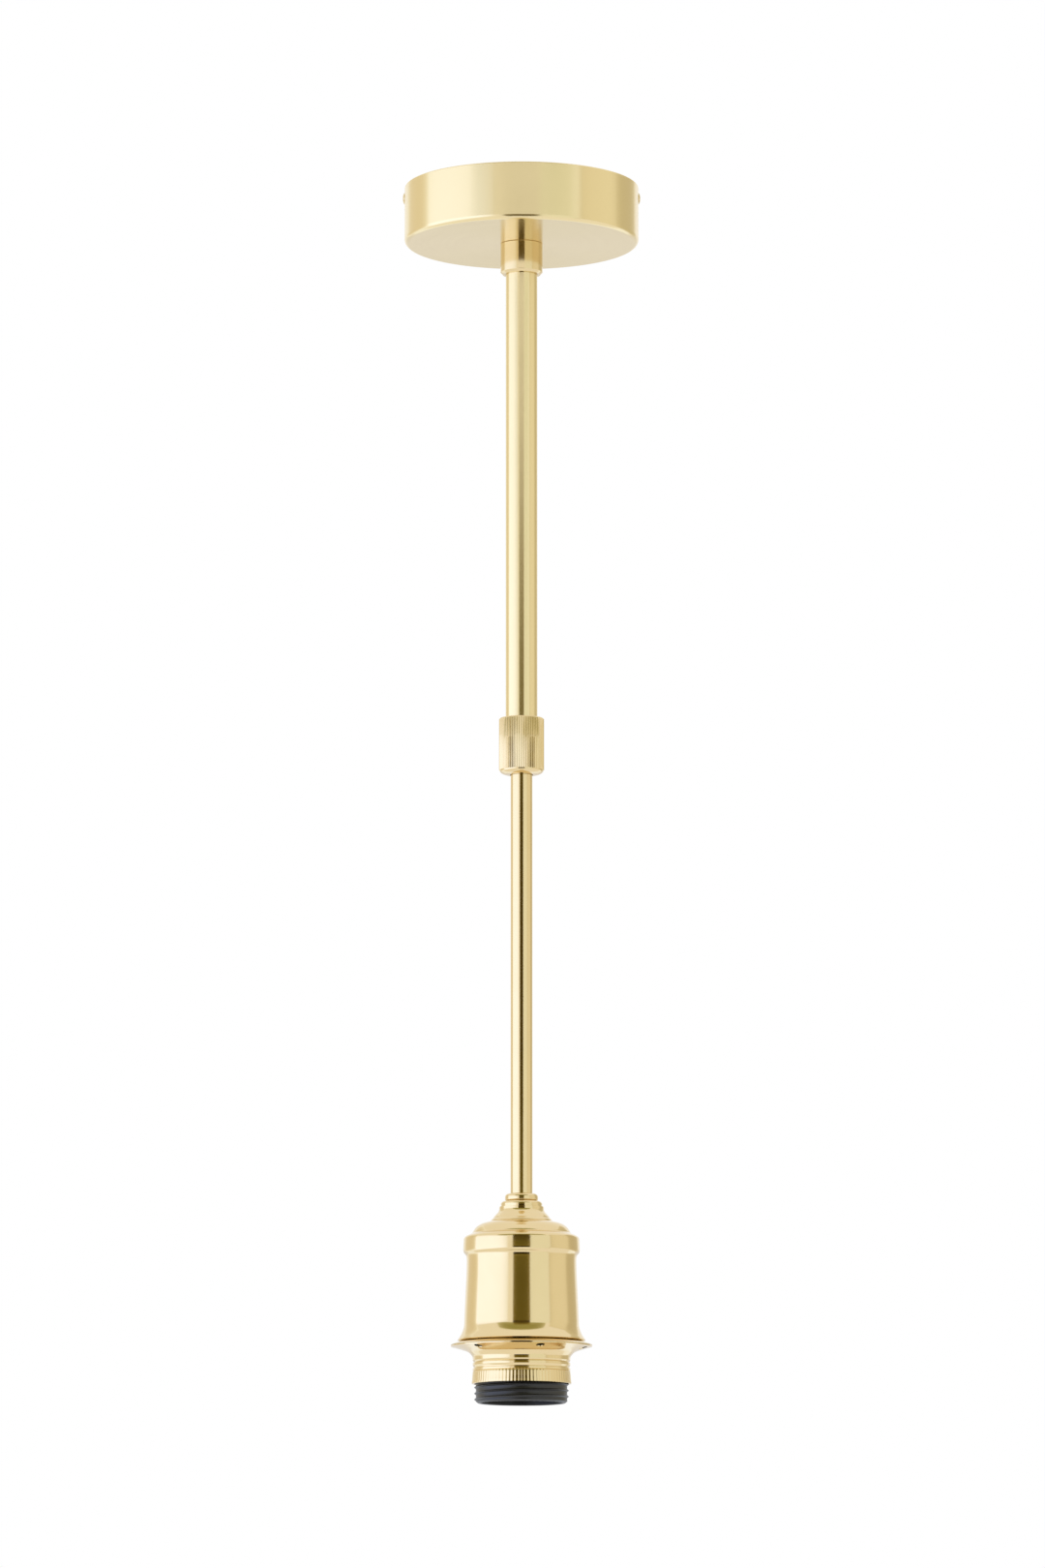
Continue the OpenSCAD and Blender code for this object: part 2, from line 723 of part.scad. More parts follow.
module clamp_collar() color("gold") {
    r = collar_d / 2 - knurl_depth - plain_step;
    end_in = r - rod_hole_d / 2 - end_land;
    difference() {
        union() {
            knurled(z_collar_top - collar_top_h, z_collar + collar_end_h, collar_d, knurl_depth, collar_teeth);
            turned(concat(
                [[0, z_collar]],
                arc_pts(r - end_in, z_collar + collar_end_h, end_in, collar_end_h, -90, 0, arc_steps),
                [[r, z_collar + collar_end_h + cut], [0, z_collar + collar_end_h + cut]]));
            turned([
                [0, z_collar_top - collar_top_h - cut], [r, z_collar_top - collar_top_h - cut],
                [r, z_collar_top - collar_top_h], [r - collar_top_h, z_collar_top], [0, z_collar_top]
            ]);
        }
        bar(z_collar_top + cut, z_collar_shoulder - cut, tube_d + 2 * seat_gap);
        bar(z_collar_shoulder, z_collar_floor, collar_bore);
        bar(z_collar_floor + cut, z_collar - cut, rod_hole_d);
    }
}

// ---- moving rod ----

module guide_bush() color("ivory") pipe(z_guide + guide_h, z_guide, guide_d, rod_slide_d);

module rod_rings() color("silver") {
    for (z = [z_ring_low, z_ring_high])
        pipe(z + ring_h, z, guide_d - 2 * run_gap, rod_d + 2 * fit_gap);
}

module lower_rod() color("gold") pipe(z_rod_top, z_rod, rod_d, rod_bore);

module lower_lead() color("black") bar(z_curl, z_lead_end, lead_d);

module entry_locknut() color("gold") {
    r = entry_nut_d / 2;
    round_r = 0.8;
    turned(concat(
        [[rod_d / 2 + fit_gap, z_ferrule]],
        arc_pts(r - round_r / 2, z_ferrule + round_r / 2, round_r / 2, round_r / 2, -90, 0, arc_steps),
        arc_pts(r - round_r, z_entry_nut - round_r, round_r, round_r, 0, 90, arc_steps),
        [[rod_d / 2 + fit_gap, z_entry_nut]]));
}

module cover_ferrule() color("gold") {
    r = ferrule_d / 2;
    round_r = 0.9;
    turned(concat(
        [[rod_d / 2 + fit_gap, z_cover], [r, z_cover]],
        arc_pts(r - round_r, z_ferrule - round_r, round_r, round_r, 0, 90, arc_steps),
        [[rod_d / 2 + fit_gap, z_ferrule]]));
}

// outline of the cover from its top hole to its lip, on the outside
function cover_upper() = concat(
    [[cover_hole_d / 2, z_cover], [ferrule_d / 2 + 0.2, z_cover], [flare_d / 2, z_cover - flare_h],
        [neck_d / 2, z_neck]],
    arc_pts(dome_d / 2 - dome_r, z_dome, dome_r, dome_r, 90, 0, arc_steps),
    arc_pts(bead_d / 2 - bead_round, z_bead, bead_round, bead_round, 90, 0, arc_steps));
function cover_lower() = concat(
    [for (i = [1:3]) [bead_d / 2 + bead_bulge * sin(45 * i), z_bead - bead_h * i / 4]],
    [[bead_d / 2 - bead_foot_in, z_body], [body_top_d / 2, z_body - bead_fall],
        [body_bottom_d / 2, z_lip_top]],
    [for (i = [1:arc_steps]) let (t = i / arc_steps)
        [(body_bottom_d + (lip_d - body_bottom_d) * pow(t, lip_curve)) / 2, z_lip_top - lip_h * t]]);

module brass_cover() color("gold") {
    w = cover_wall;
    inner = concat([for (p = cover_upper()) [max(p.x - w, cover_hole_d / 2), p.y - w]],
        [for (p = cover_lower()) [p.x - w, p.y]]);
    turned(concat(cover_upper(), cover_lower(), [for (i = [len(inner) - 1:-1:1]) inner[i]],
        [[cover_hole_d / 2, z_cover - w]]));
}

module holder_cap() color("dimgray") {
    r = cap_d / 2;
    turned([
        [rod_d / 2 + fit_gap, z_cap], [cap_boss_d / 2, z_cap],
        [cap_boss_d / 2, z_cap_roof + cap_boss_fillet], [r - cap_shoulder_in, z_cap_roof],
        [r - cap_edge, z_cap_roof - cap_shoulder_h + 5 * cap_edge], [r, z_cap_roof - cap_shoulder_h],
        [r, z_skirt_top], [spigot_d / 2, z_skirt_top], [spigot_d / 2, z_skirt_top - spigot_h],
        [cap_bore / 2, z_skirt_top - spigot_h], [cap_bore / 2, z_cap_inside - cap_wall],
        [cap_bore / 2 - cap_wall, z_cap_inside], [rod_d / 2 + fit_gap, z_cap_inside]
    ]);
}

module terminal_carrier() color("whitesmoke") {
    difference() {
        bar(z_carrier, z_shell - carrier_cup_h, carrier_d);
        bar(z_shell, z_shell - carrier_cup_h - cut, carrier_cup_bore);
        bar(z_spring_top, z_shell - cut, spring_bore);
        for (side = [-1, 1])
            translate([0, side * rivet_r, 0])
                bar(z_shell + rivet_l + rivet_room, z_shell - cut, rivet_d + 2 * fit_gap);
    }
}

module holder_terminals() color("gold") {
    for (side = [-1, 1])
        difference() {
            translate([side * terminal_r - terminal_w / 2, -terminal_w / 2, z_carrier])
                cube([terminal_w, terminal_w, terminal_h]);
            translate([side * terminal_r, 0, z_carrier + terminal_floor])
                cylinder(h = terminal_h, d = core_d + 2 * hole_gap);
            translate([side * terminal_r, 0, z_carrier + terminal_h / 2])
                rotate([90, 0, 0])
                    cylinder(h = terminal_w, d = clamp_screw_d - 0.5 + 2 * fit_gap);
        }
}

module holder_terminal_screws() color("silver") {
    for (side = [-1, 1])
        translate([side * terminal_r, 0, z_carrier + terminal_h / 2])
            rotate([90, 0, 0]) {
                translate([0, 0, core_d / 2 + fit_gap])
                    cylinder(h = terminal_w / 2 + fit_gap, d = clamp_screw_d - 0.5);
                translate([0, 0, terminal_w / 2 + fit_gap])
                    cylinder(h = terminal_head_h, d = terminal_head_d);
            }
}

// a core from the lead's end to a holder terminal, on one side
module drop_core(side) {
    z_end = z_carrier + terminal_h / 2 - 0.5;
    z_mid = (z_cap_inside - 1.5 + z_carrier + terminal_h) / 2;
    route = [
        [side * core_start, 0, z_lead_end], [side * core_start, 0, z_lead_end - core_d / 2],
        [side * 2.6, 0, z_mid + 0.6], [side * (terminal_r - 1.8), 0, z_mid],
        [side * (terminal_r - 0.4), 0, z_mid - 1], [side * terminal_r, 0, z_mid - 2],
        [side * terminal_r, 0, z_end]
    ];
    strand(route, [for (i = [0:len(route) - 1]) [0, 1, 0]], core_d, lead_sides);
}

module brown_drop_core() color("saddlebrown") drop_core(-1);

module blue_drop_core() color("royalblue") drop_core(1);

module screw_shell() color("silver") {
    difference() {
        union() {
            bar(z_shell, z_thread, shell_top_bore + 2 * shell_wall);
            bar(z_thread, z_shell - shell_l, shell_d);
        }
        bar(z_shell - shell_wall, z_thread - cut, shell_top_bore);
        bar(z_thread - shell_wall, z_shell - shell_l - cut, shell_bore);
        bar(z_shell + cut, z_shell - cut, spring_bore);
        for (side = [-1, 1])
            translate([0, side * rivet_r, 0])
                bar(z_shell + cut, z_shell - cut, rivet_d + 2 * fit_gap);
    }
}

module shell_rivets() color("silver") {
    for (side = [-1, 1])
        translate([0, side * rivet_r, 0]) {
            bar(z_shell + rivet_l, z_shell - shell_wall, rivet_d);
            bar(z_shell - shell_wall, z_shell - shell_wall - rivet_head_h, rivet_head_d);
        }
}

module contact_spring() color("silver") {
    steps = 8;
    z_lo = z_contact + contact_t + spring_wire / 2 + fit_gap;
    z_hi = z_spring_top - spring_wire / 2 - fit_gap;
    turns = [for (i = [0:spring_turns * steps]) let (a = 360 * i / steps)
        [spring_r * cos(a), spring_r * sin(a), z_lo + (z_hi - z_lo) * i / (spring_turns * steps)]];
    strand(turns, curl_sides(spring_turns, steps), spring_wire, 6);
}

module skirt() color("dimgray") {
    crest = skirt_d / 2;
    thread_top = z_washer;
    steps = 8;
    count = floor((thread_top - z_mouth - mouth_chamfer) / thread_pitch) * steps;
    difference() {
        turned(concat(
            [[0, z_mouth], [crest - thread_depth - mouth_chamfer, z_mouth],
                [crest - thread_depth, z_mouth + mouth_chamfer]],
            [for (i = [0:count]) let (a = 360 * i / steps)
                [crest - thread_depth * (1 + cos(a)) / 2,
                    z_mouth + mouth_chamfer + 0.05 + i * thread_pitch / steps]],
            [[crest - thread_depth, thread_top + 1], [crest - thread_depth, z_skirt_top],
                [0, z_skirt_top]]));
        bar(z_skirt_top + cut, z_mouth - cut, skirt_bore);
    }
}

module centre_contact() color("silver") {
    bar(z_contact + contact_t, z_contact, contact_d);
    bar(z_contact + stem_l, z_contact + contact_t, stem_d);
}

// ---- gallery ring ----

module clamp_washer() color("gold") {
    r = flange_d / 2;
    r_lip = lip_d / 2;
    turned([
        [ring_bore / 2, z_washer], [r_lip, z_washer], [r - rim_round, z_rim + rim_round * 1.6],
        [r, z_rim], [r - 1.5, z_rim], [r_lip, z_washer - washer_t], [ring_bore / 2, z_washer - washer_t]
    ]);
}

// outside of the trumpet at a share t of its height below the rim
function trumpet_r(t) = (ring_neck_d + (flange_d - ring_neck_d) * pow(1 - t, trumpet_curve)) / 2;

module gallery_ring() color("gold") {
    steps = 2 * arc_steps;
    outside = [for (i = [0:steps]) let (t = pow(i / steps, 1.5))
        [trumpet_r(t), z_flange - 0.3 - (trumpet_h - 0.3) * t]];
    inside = [for (i = [steps:-1:0]) let (p = outside[i])
        [max(p.x - ring_wall * 0.7, ring_bore / 2), min(p.y + ring_wall * 0.6, z_flange)]];
    difference() {
        union() {
            turned(concat(
                [[flange_d / 2, z_flange]], [for (p = outside) p],
                [[ring_neck_d / 2, z_band], [ring_bore / 2, z_band]],
                inside));
            difference() {
                knurled(z_band, z_ring, band_d, band_knurl, band_teeth);
                bar(z_band + cut, z_ring - cut, ring_bore);
            }
        }
        for (i = [0:vent_count - 1])
            rotate([0, 0, vent_angle - 90 + 360 * i / vent_count])
                translate([vent_circle_d / 2, 0, 0])
                    bar(z_flange + cut, z_neck_top, vent_d);
    }
}

rose_cup();
mounting_bracket();
rose_side_screws();
terminal_block();
terminal_tubes();
terminal_screws();
block_screw();
earth_screw();
earth_washer();
earth_link();
brown_core();
blue_core();
cord_grip();
grip_screws();
hollow_nipple();
nipple_locknut();
star_washer();
stem_boss();
upper_tube();
tube_end_bush();
collet();
upper_lead();
curled_lead();
thrust_ring();
clamp_collar();
guide_bush();
rod_rings();
lower_rod();
lower_lead();
entry_locknut();
cover_ferrule();
brass_cover();
holder_cap();
terminal_carrier();
holder_terminals();
holder_terminal_screws();
brown_drop_core();
blue_drop_core();
screw_shell();
shell_rivets();
contact_spring();
skirt();
centre_contact();
clamp_washer();
gallery_ring();
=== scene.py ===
"""Looks of the rise and fall pendant: turned and brushed brass pieces, a black threaded
lampholder, and the fittings inside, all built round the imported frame. Lengths are in
millimetres until they reach a mesh. Levels are heights from the ceiling, so they are negative."""

import json
import math

import bpy
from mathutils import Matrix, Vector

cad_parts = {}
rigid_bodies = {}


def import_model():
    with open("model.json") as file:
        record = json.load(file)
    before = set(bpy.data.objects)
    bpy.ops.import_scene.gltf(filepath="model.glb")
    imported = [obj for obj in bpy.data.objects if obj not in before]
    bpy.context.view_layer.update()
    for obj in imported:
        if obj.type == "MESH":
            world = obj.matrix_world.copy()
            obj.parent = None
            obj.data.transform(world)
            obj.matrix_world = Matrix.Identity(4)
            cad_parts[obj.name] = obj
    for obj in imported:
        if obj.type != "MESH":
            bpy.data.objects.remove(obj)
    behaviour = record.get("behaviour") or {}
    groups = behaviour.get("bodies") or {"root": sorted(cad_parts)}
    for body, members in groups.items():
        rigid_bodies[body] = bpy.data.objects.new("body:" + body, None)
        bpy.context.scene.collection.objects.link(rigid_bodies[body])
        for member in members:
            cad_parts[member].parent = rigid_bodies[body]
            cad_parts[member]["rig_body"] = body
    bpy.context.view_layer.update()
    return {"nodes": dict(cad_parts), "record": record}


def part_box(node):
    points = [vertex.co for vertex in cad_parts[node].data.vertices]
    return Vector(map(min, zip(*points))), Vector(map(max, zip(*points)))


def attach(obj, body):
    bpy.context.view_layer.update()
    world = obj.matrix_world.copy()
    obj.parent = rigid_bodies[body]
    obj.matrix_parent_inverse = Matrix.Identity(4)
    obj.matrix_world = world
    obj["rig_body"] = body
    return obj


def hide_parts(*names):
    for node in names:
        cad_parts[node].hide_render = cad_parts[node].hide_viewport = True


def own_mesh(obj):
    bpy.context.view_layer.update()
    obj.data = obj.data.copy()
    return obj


MM = 0.001

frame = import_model()


# ---- where the frame's pieces lie ----


def reach(node):
    """Outer radius, lowest level and highest level of a CAD node, in mm."""
    low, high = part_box(node)
    return (high.x - low.x) / 2 / MM, low.z / MM, high.z / MM


ROSE_R, ROSE_LOW, CEILING = reach("rose_cup")
BOSS_R, BOSS_LOW, BOSS_TOP = reach("stem_boss")
TUBE_R, TUBE_LOW, TUBE_TOP = reach("upper_tube")
COLLAR_R, COLLAR_LOW, COLLAR_TOP = reach("clamp_collar")
ROD_R, ROD_LOW, ROD_TOP = reach("lower_rod")
NUT_R, NUT_LOW, NUT_TOP = reach("entry_locknut")
FERRULE_R, COVER_TOP, FERRULE_TOP = reach("cover_ferrule")
LIP_R, LIP_LOW, _ = reach("brass_cover")
RIM_R, WASHER_LOW, WASHER_TOP = reach("clamp_washer")
_, RING_LOW, RING_TOP = reach("gallery_ring")
SKIRT_R, MOUTH, SKIRT_TOP = reach("skirt")
SHELL_R, SHELL_LOW, SHELL_TOP = reach("screw_shell")


# ---- camera ----

PHOTO_H = 1620
FOCAL_PX = 7300
CAMERA_REACH = 2.983
CAMERA_TILT = math.radians(8.43)
AIM_Z = -0.2574
AIM_X = 0.0004
SENSOR = 36


def stand_camera():
    """The camera stands below the pendant's middle and looks up along +Y."""
    bpy.ops.object.camera_add(
        location=(
            AIM_X,
            -CAMERA_REACH * math.cos(CAMERA_TILT),
            AIM_Z - CAMERA_REACH * math.sin(CAMERA_TILT),
        ),
        rotation=(math.pi / 2 + CAMERA_TILT, 0, 0),
    )
    camera = bpy.context.object
    camera.data.sensor_width = SENSOR
    camera.data.lens = FOCAL_PX / PHOTO_H * SENSOR
    camera.data.dof.use_dof = False
    bpy.context.scene.camera = camera


# ---- nodes of a material ----

# places of the colour sockets on a Mix node
MIX_FIRST, MIX_SECOND, MIX_RESULT = 6, 7, 2


class Field:
    """A number that varies over a surface. Sums and products of fields add their Math nodes."""

    def __init__(self, paint, socket):
        self.paint = paint
        self.socket = socket

    def __add__(self, other):
        return self.paint.sum("ADD", self, other)

    __radd__ = __add__

    def __mul__(self, other):
        return self.paint.sum("MULTIPLY", self, other)

    __rmul__ = __mul__

    def __sub__(self, other):
        return self.paint.sum("SUBTRACT", self, other)

    def __rsub__(self, other):
        return self.paint.sum("SUBTRACT", other, self)

    def __truediv__(self, other):
        return self.paint.sum("DIVIDE", self, other)

    def __pow__(self, other):
        return self.paint.sum("POWER", self, other)


class Paint:
    """One material: a shader, and the nodes that vary it over a piece."""

    def __init__(self, name, **sockets):
        self.material = bpy.data.materials.new(name)
        self.material.use_nodes = True
        self.tree = self.material.node_tree
        self.shader = self.tree.nodes["Principled BSDF"]
        self.wear(**sockets)

    def wear(self, **sockets):
        """Feeds the shader's sockets, with _ for each space in a name."""
        for socket, value in sockets.items():
            self.feed(self.shader.inputs[socket.replace("_", " ")], value)
        return self.material

    def feed(self, socket, value):
        """Links a field to a socket, or sets the socket's own value."""
        if isinstance(value, Field):
            self.tree.links.new(value.socket, socket)
        else:
            socket.default_value = value

    def node(self, kind, settings, sockets):
        """Adds a node: its settings first, then its sockets' values or links, by name or place."""
        made = self.tree.nodes.new("ShaderNode" + kind)
        for name, value in settings.items():
            setattr(made, name, value)
        for name, value in sockets.items():
            self.feed(made.inputs[name], value)
        return made

    def sum(self, operation, *values):
        """A Math node on one value or more, as a field."""
        made = self.node("Math", {"operation": operation}, dict(enumerate(values)))
        return Field(self, made.outputs[0])

    def place(self):
        """The three coordinates of a point on the piece, in metres."""
        point = self.node("TexCoord", {}, {}).outputs["Object"]
        parts = self.node("SeparateXYZ", {}, {0: Field(self, point)}).outputs
        return [Field(self, part) for part in parts]

    def noise(self, x, y, z, detail=2.0):
        """Smooth noise from 0 to 1 over three coordinates."""
        point = self.node("CombineXYZ", {}, {0: x, 1: y, 2: z}).outputs[0]
        made = self.node(
            "TexNoise",
            {"noise_dimensions": "4D"},
            {"Vector": Field(self, point), "W": 0.0, "Scale": 1.0, "Detail": detail},
        )
        return Field(self, made.outputs["Fac"])

    def turning(self, pitch, length):
        """Lines left by a tool or a pad that went round the Z axis.
        They lie pitch mm apart and are length radians long."""
        x, y, z = self.place()
        radius = (x * x + y * y) ** 0.5 + 1e-6
        fine = 1 / (pitch * MM)
        return self.noise(
            x / radius / length, y / radius / length, radius * fine, z * fine
        )

    def blotches(self, size, detail=2.0):
        """Soft patches of about that size in mm."""
        x, y, z = self.place()
        near = 1 / (size * MM)
        return self.noise(x * near, y * near, z * near, detail)

    def shades(self, factor, first, second):
        """A colour between two, by a field from 0 to 1."""
        made = self.node(
            "Mix",
            {"data_type": "RGBA"},
            {"Factor": factor, MIX_FIRST: (*first, 1), MIX_SECOND: (*second, 1)},
        )
        return Field(self, made.outputs[MIX_RESULT])

    def bump(self, height, depth):
        """Relief of that depth in mm."""
        made = self.node("Bump", {}, {"Height": height, "Distance": depth * MM})
        return Field(self, made.outputs["Normal"])


# ---- materials ----

BRASS_DARK = (0.77, 0.61, 0.335)
BRASS_LIGHT = (0.82, 0.66, 0.385)
SATIN_DARK = (0.80, 0.65, 0.365)
SATIN_LIGHT = (0.88, 0.74, 0.435)


def polished_brass():
    """Lacquered brass, turned and polished, with faint lines round it."""
    paint = Paint("polished_brass", Metallic=1.0)
    lines = paint.turning(pitch=0.5, length=0.5)
    haze = paint.blotches(size=9)
    return paint.wear(
        Base_Color=paint.shades(haze * 0.7 + lines * 0.3, BRASS_DARK, BRASS_LIGHT),
        Roughness=haze * 0.04 + lines * 0.04 + 0.07,
        Normal=paint.bump(haze, depth=0.004),
    )


def satin_brass():
    """Brass brushed round its axis with a fine pad, which draws reflections out along the axis."""
    paint = Paint("satin_brass", Metallic=1.0, Anisotropic=0.8, Anisotropic_Rotation=0.25)
    lines = paint.turning(pitch=0.35, length=0.35)
    broad = paint.turning(pitch=1.6, length=0.6)
    haze = paint.blotches(size=14)
    return paint.wear(
        Base_Color=paint.shades(lines * 0.6 + broad * 0.4, SATIN_DARK, SATIN_LIGHT),
        Roughness=haze * 0.04 + lines * 0.06 + 0.16,
        Normal=paint.bump(lines, depth=0.002),
    )


def inner_brass():
    """Plain machined brass, a little dull, on the fittings that don't show."""
    paint = Paint("inner_brass", Metallic=1.0)
    lines = paint.turning(pitch=0.3, length=0.5)
    haze = paint.blotches(size=5, detail=4.0)
    return paint.wear(
        Base_Color=paint.shades(haze, (0.55, 0.40, 0.18), (0.76, 0.59, 0.31)),
        Roughness=haze * 0.15 + lines * 0.10 + 0.22,
        Normal=paint.bump(lines, depth=0.005),
    )


def zinc_steel():
    """Bright zinc on pressed steel, with its crystal patches."""
    paint = Paint("zinc_steel", Metallic=1.0)
    patches = paint.blotches(size=3.5, detail=4.0)
    grain = paint.blotches(size=0.4)
    return paint.wear(
        Base_Color=paint.shades(patches, (0.50, 0.52, 0.54), (0.72, 0.73, 0.74)),
        Roughness=patches * 0.18 + grain * 0.08 + 0.22,
        Normal=paint.bump(grain, depth=0.004),
    )


def nickel_plate():
    """Nickel on pressed brass, bright and slightly warm."""
    paint = Paint("nickel_plate", Metallic=1.0)
    haze = paint.blotches(size=4, detail=3.0)
    return paint.wear(
        Base_Color=paint.shades(haze, (0.58, 0.55, 0.50), (0.74, 0.71, 0.66)),
        Roughness=haze * 0.12 + 0.16,
        Normal=paint.bump(haze, depth=0.004),
    )


def moulded(name, dark, light, roughness, relief, coat=0.0, shine=0.5):
    """A moulded plastic with fine grain and faint flow marks."""
    paint = Paint(name, Coat_Weight=coat, Coat_Roughness=0.25, Specular_IOR_Level=shine)
    flow = paint.blotches(size=6, detail=3.0)
    grain = paint.blotches(size=0.35, detail=3.0)
    return paint.wear(
        Base_Color=paint.shades(flow * 0.6 + grain * 0.4, dark, light),
        Roughness=flow * 0.08 + grain * 0.08 + roughness,
        Normal=paint.bump(grain, relief),
    )


def ceramic():
    """Unglazed steatite, off white with small specks."""
    paint = Paint("ceramic", Subsurface_Weight=0.05, Subsurface_Scale=0.001)
    body = paint.blotches(size=2.5, detail=4.0)
    specks = paint.blotches(size=0.5, detail=1.0) ** 6 * 6
    tone = body * 0.8 + specks * 0.6
    return paint.wear(
        Base_Color=paint.shades(tone, (0.83, 0.80, 0.74), (0.62, 0.58, 0.51)),
        Roughness=body * 0.15 + 0.5,
        Normal=paint.bump(body, depth=0.02),
    )


def insulation(name, dark, light):
    """Soft PVC sleeve, matt with a slight sheen."""
    paint = Paint(name, Sheen_Weight=0.1)
    mottle = paint.blotches(size=1.2, detail=3.0)
    return paint.wear(
        Base_Color=paint.shades(mottle, dark, light),
        Roughness=mottle * 0.12 + 0.38,
        Normal=paint.bump(mottle, depth=0.01),
    )


def earth_insulation():
    """Green sleeve with a yellow stripe along one side."""
    paint = Paint("earth_insulation", Sheen_Weight=0.1)
    x, _, z = paint.place()
    across, along, green_share = 5200, 1500, 0.15
    wave = paint.sum("SINE", x * across + z * along)
    stripe = paint.sum("GREATER_THAN", wave, green_share)
    mottle = paint.blotches(size=1.0, detail=3.0)
    return paint.wear(
        Base_Color=paint.shades(stripe, (0.05, 0.30, 0.07), (0.78, 0.62, 0.06)),
        Roughness=mottle * 0.12 + 0.38,
        Normal=paint.bump(mottle, depth=0.01),
    )


MATERIALS = {
    "polished_brass": polished_brass(),
    "satin_brass": satin_brass(),
    "inner_brass": inner_brass(),
    "zinc_steel": zinc_steel(),
    "nickel_plate": nickel_plate(),
    "white_moulding": moulded(
        "white_moulding",
        (0.72, 0.71, 0.67),
        (0.82, 0.81, 0.78),
        roughness=0.32,
        relief=0.006,
        coat=0.1,
    ),
    "black_moulding": moulded(
        "black_moulding",
        (0.002, 0.002, 0.002),
        (0.006, 0.005, 0.005),
        roughness=0.30,
        relief=0.006,
        shine=0.65,
    ),
    "black_lead": moulded(
        "black_lead",
        (0.013, 0.013, 0.013),
        (0.022, 0.022, 0.022),
        roughness=0.42,
        relief=0.008,
    ),
    "ceramic": ceramic(),
    "brown_insulation": insulation(
        "brown_insulation", (0.10, 0.035, 0.012), (0.17, 0.062, 0.022)
    ),
    "blue_insulation": insulation(
        "blue_insulation", (0.02, 0.10, 0.42), (0.04, 0.17, 0.56)
    ),
    "earth_insulation": earth_insulation(),
}
SLOT_OF = {part["node"]: part["material_slot"] for part in frame["record"]["subparts"]}


# ---- modelling ----

# sides of a turned piece
ROUND = 192
WIDE_ROUND = 256
PIPE_ROUND = 128
BORE_ROUND = 96
SCREW_ROUND = 48
VENT_ROUND = 32

WELD = 1e-7
SMOOTH_BELOW = math.radians(32)
SMOOTH_KNURL = math.radians(42)


def clear():
    """Object mode, with nothing selected."""
    if bpy.context.object and bpy.context.object.mode != "OBJECT":
        bpy.ops.object.mode_set(mode="OBJECT")
    bpy.ops.object.select_all(action="DESELECT")


def pick(*pieces):
    """Selects these pieces alone, the last one active."""
    clear()
    for piece in pieces:
        piece.select_set(True)
    bpy.context.view_layer.objects.active = pieces[-1]


def edit(piece):
    """Edit mode on one piece, with all of it selected."""
    pick(piece)
    bpy.ops.object.mode_set(mode="EDIT")
    bpy.ops.mesh.select_all(action="SELECT")


def weld(piece):
    """Merges doubles and turns every face outwards."""
    edit(piece)
    bpy.ops.mesh.remove_doubles(threshold=WELD)
    bpy.ops.mesh.normals_make_consistent(inside=False)
    bpy.ops.object.mode_set(mode="OBJECT")


def arc(middle_r, middle_z, radius, start, end, steps=8, height=None):
    """Points of an arc, or of part of an ellipse: 0 degrees is outwards and 90 is up."""
    height = radius if height is None else height
    angles = [math.radians(start + (end - start) * i / steps) for i in range(steps + 1)]
    return [
        (middle_r + radius * math.cos(a), middle_z + height * math.sin(a)) for a in angles
    ]


def between(p, q, r, s, t):
    """The value at share t from q to r, on a smooth curve through four values."""
    straight = 2 * q + (r - p) * t
    bent = (2 * p - 5 * q + 4 * r - s) * t**2
    return 0.5 * (straight + bent + (3 * q - p - 3 * r + s) * t**3)


def flowing(points, steps):
    """A smooth curve through a few points."""
    made = []
    ends = [points[0], *points, points[-1]]
    for four in zip(ends, ends[1:], ends[2:], ends[3:]):
        for i in range(steps):
            made.append(tuple(between(*values, i / steps) for values in zip(*four)))
    return made + [points[-1]]


def start_ring(name, radius, level, sides):
    """The first ring of a turned piece, left in edit mode."""
    clear()
    bpy.ops.mesh.primitive_circle_add(
        vertices=sides, radius=radius * MM, location=(0, 0, level * MM)
    )
    piece = bpy.context.object
    piece.name = name
    bpy.ops.object.transform_apply()
    edit(piece)
    return piece


def pull_ring(outline, closed):
    """Extrudes the selected ring along an outline of radii and levels."""
    radius, level = outline[0]
    stops = outline[1:] + outline[:1] if closed else outline[1:]
    for next_radius, next_level in stops:
        drop = (0, 0, (next_level - level) * MM)
        ratio = next_radius / radius
        bpy.ops.mesh.extrude_edges_move(TRANSFORM_OT_translate={"value": drop})
        bpy.ops.transform.resize(
            value=(ratio, ratio, 1), center_override=(0, 0, next_level * MM)
        )
        radius, level = next_radius, next_level


def turned(name, outline, sides=ROUND, closed=True):
    """A piece turned about the Z axis, from its outline."""
    piece = start_ring(name, *outline[0], sides)
    pull_ring(outline, closed)
    weld(piece)
    return piece


def fluted(name, outline, teeth, depth, roots):
    """A turned bar with straight flutes. Each tooth has as many sides as the list of roots,
    which says what share of the depth each corner is pushed in."""
    piece = start_ring(name, *outline[0], teeth * len(roots))
    radius, level = outline[0]
    for place, share in enumerate(roots):
        if not share:
            continue
        bpy.ops.mesh.select_all(action="DESELECT")
        bpy.ops.object.mode_set(mode="OBJECT")
        for vertex in piece.data.vertices:
            vertex.select = vertex.index % len(roots) == place
        bpy.ops.object.mode_set(mode="EDIT")
        ratio = 1 - depth * share / radius
        bpy.ops.transform.resize(
            value=(ratio, ratio, 1), center_override=(0, 0, level * MM)
        )
    bpy.ops.mesh.select_all(action="SELECT")
    pull_ring(outline, False)
    bpy.ops.mesh.edge_face_add()
    bpy.ops.mesh.select_all(action="DESELECT")
    bpy.ops.mesh.select_non_manifold()
    bpy.ops.mesh.edge_face_add()
    weld(piece)
    return piece


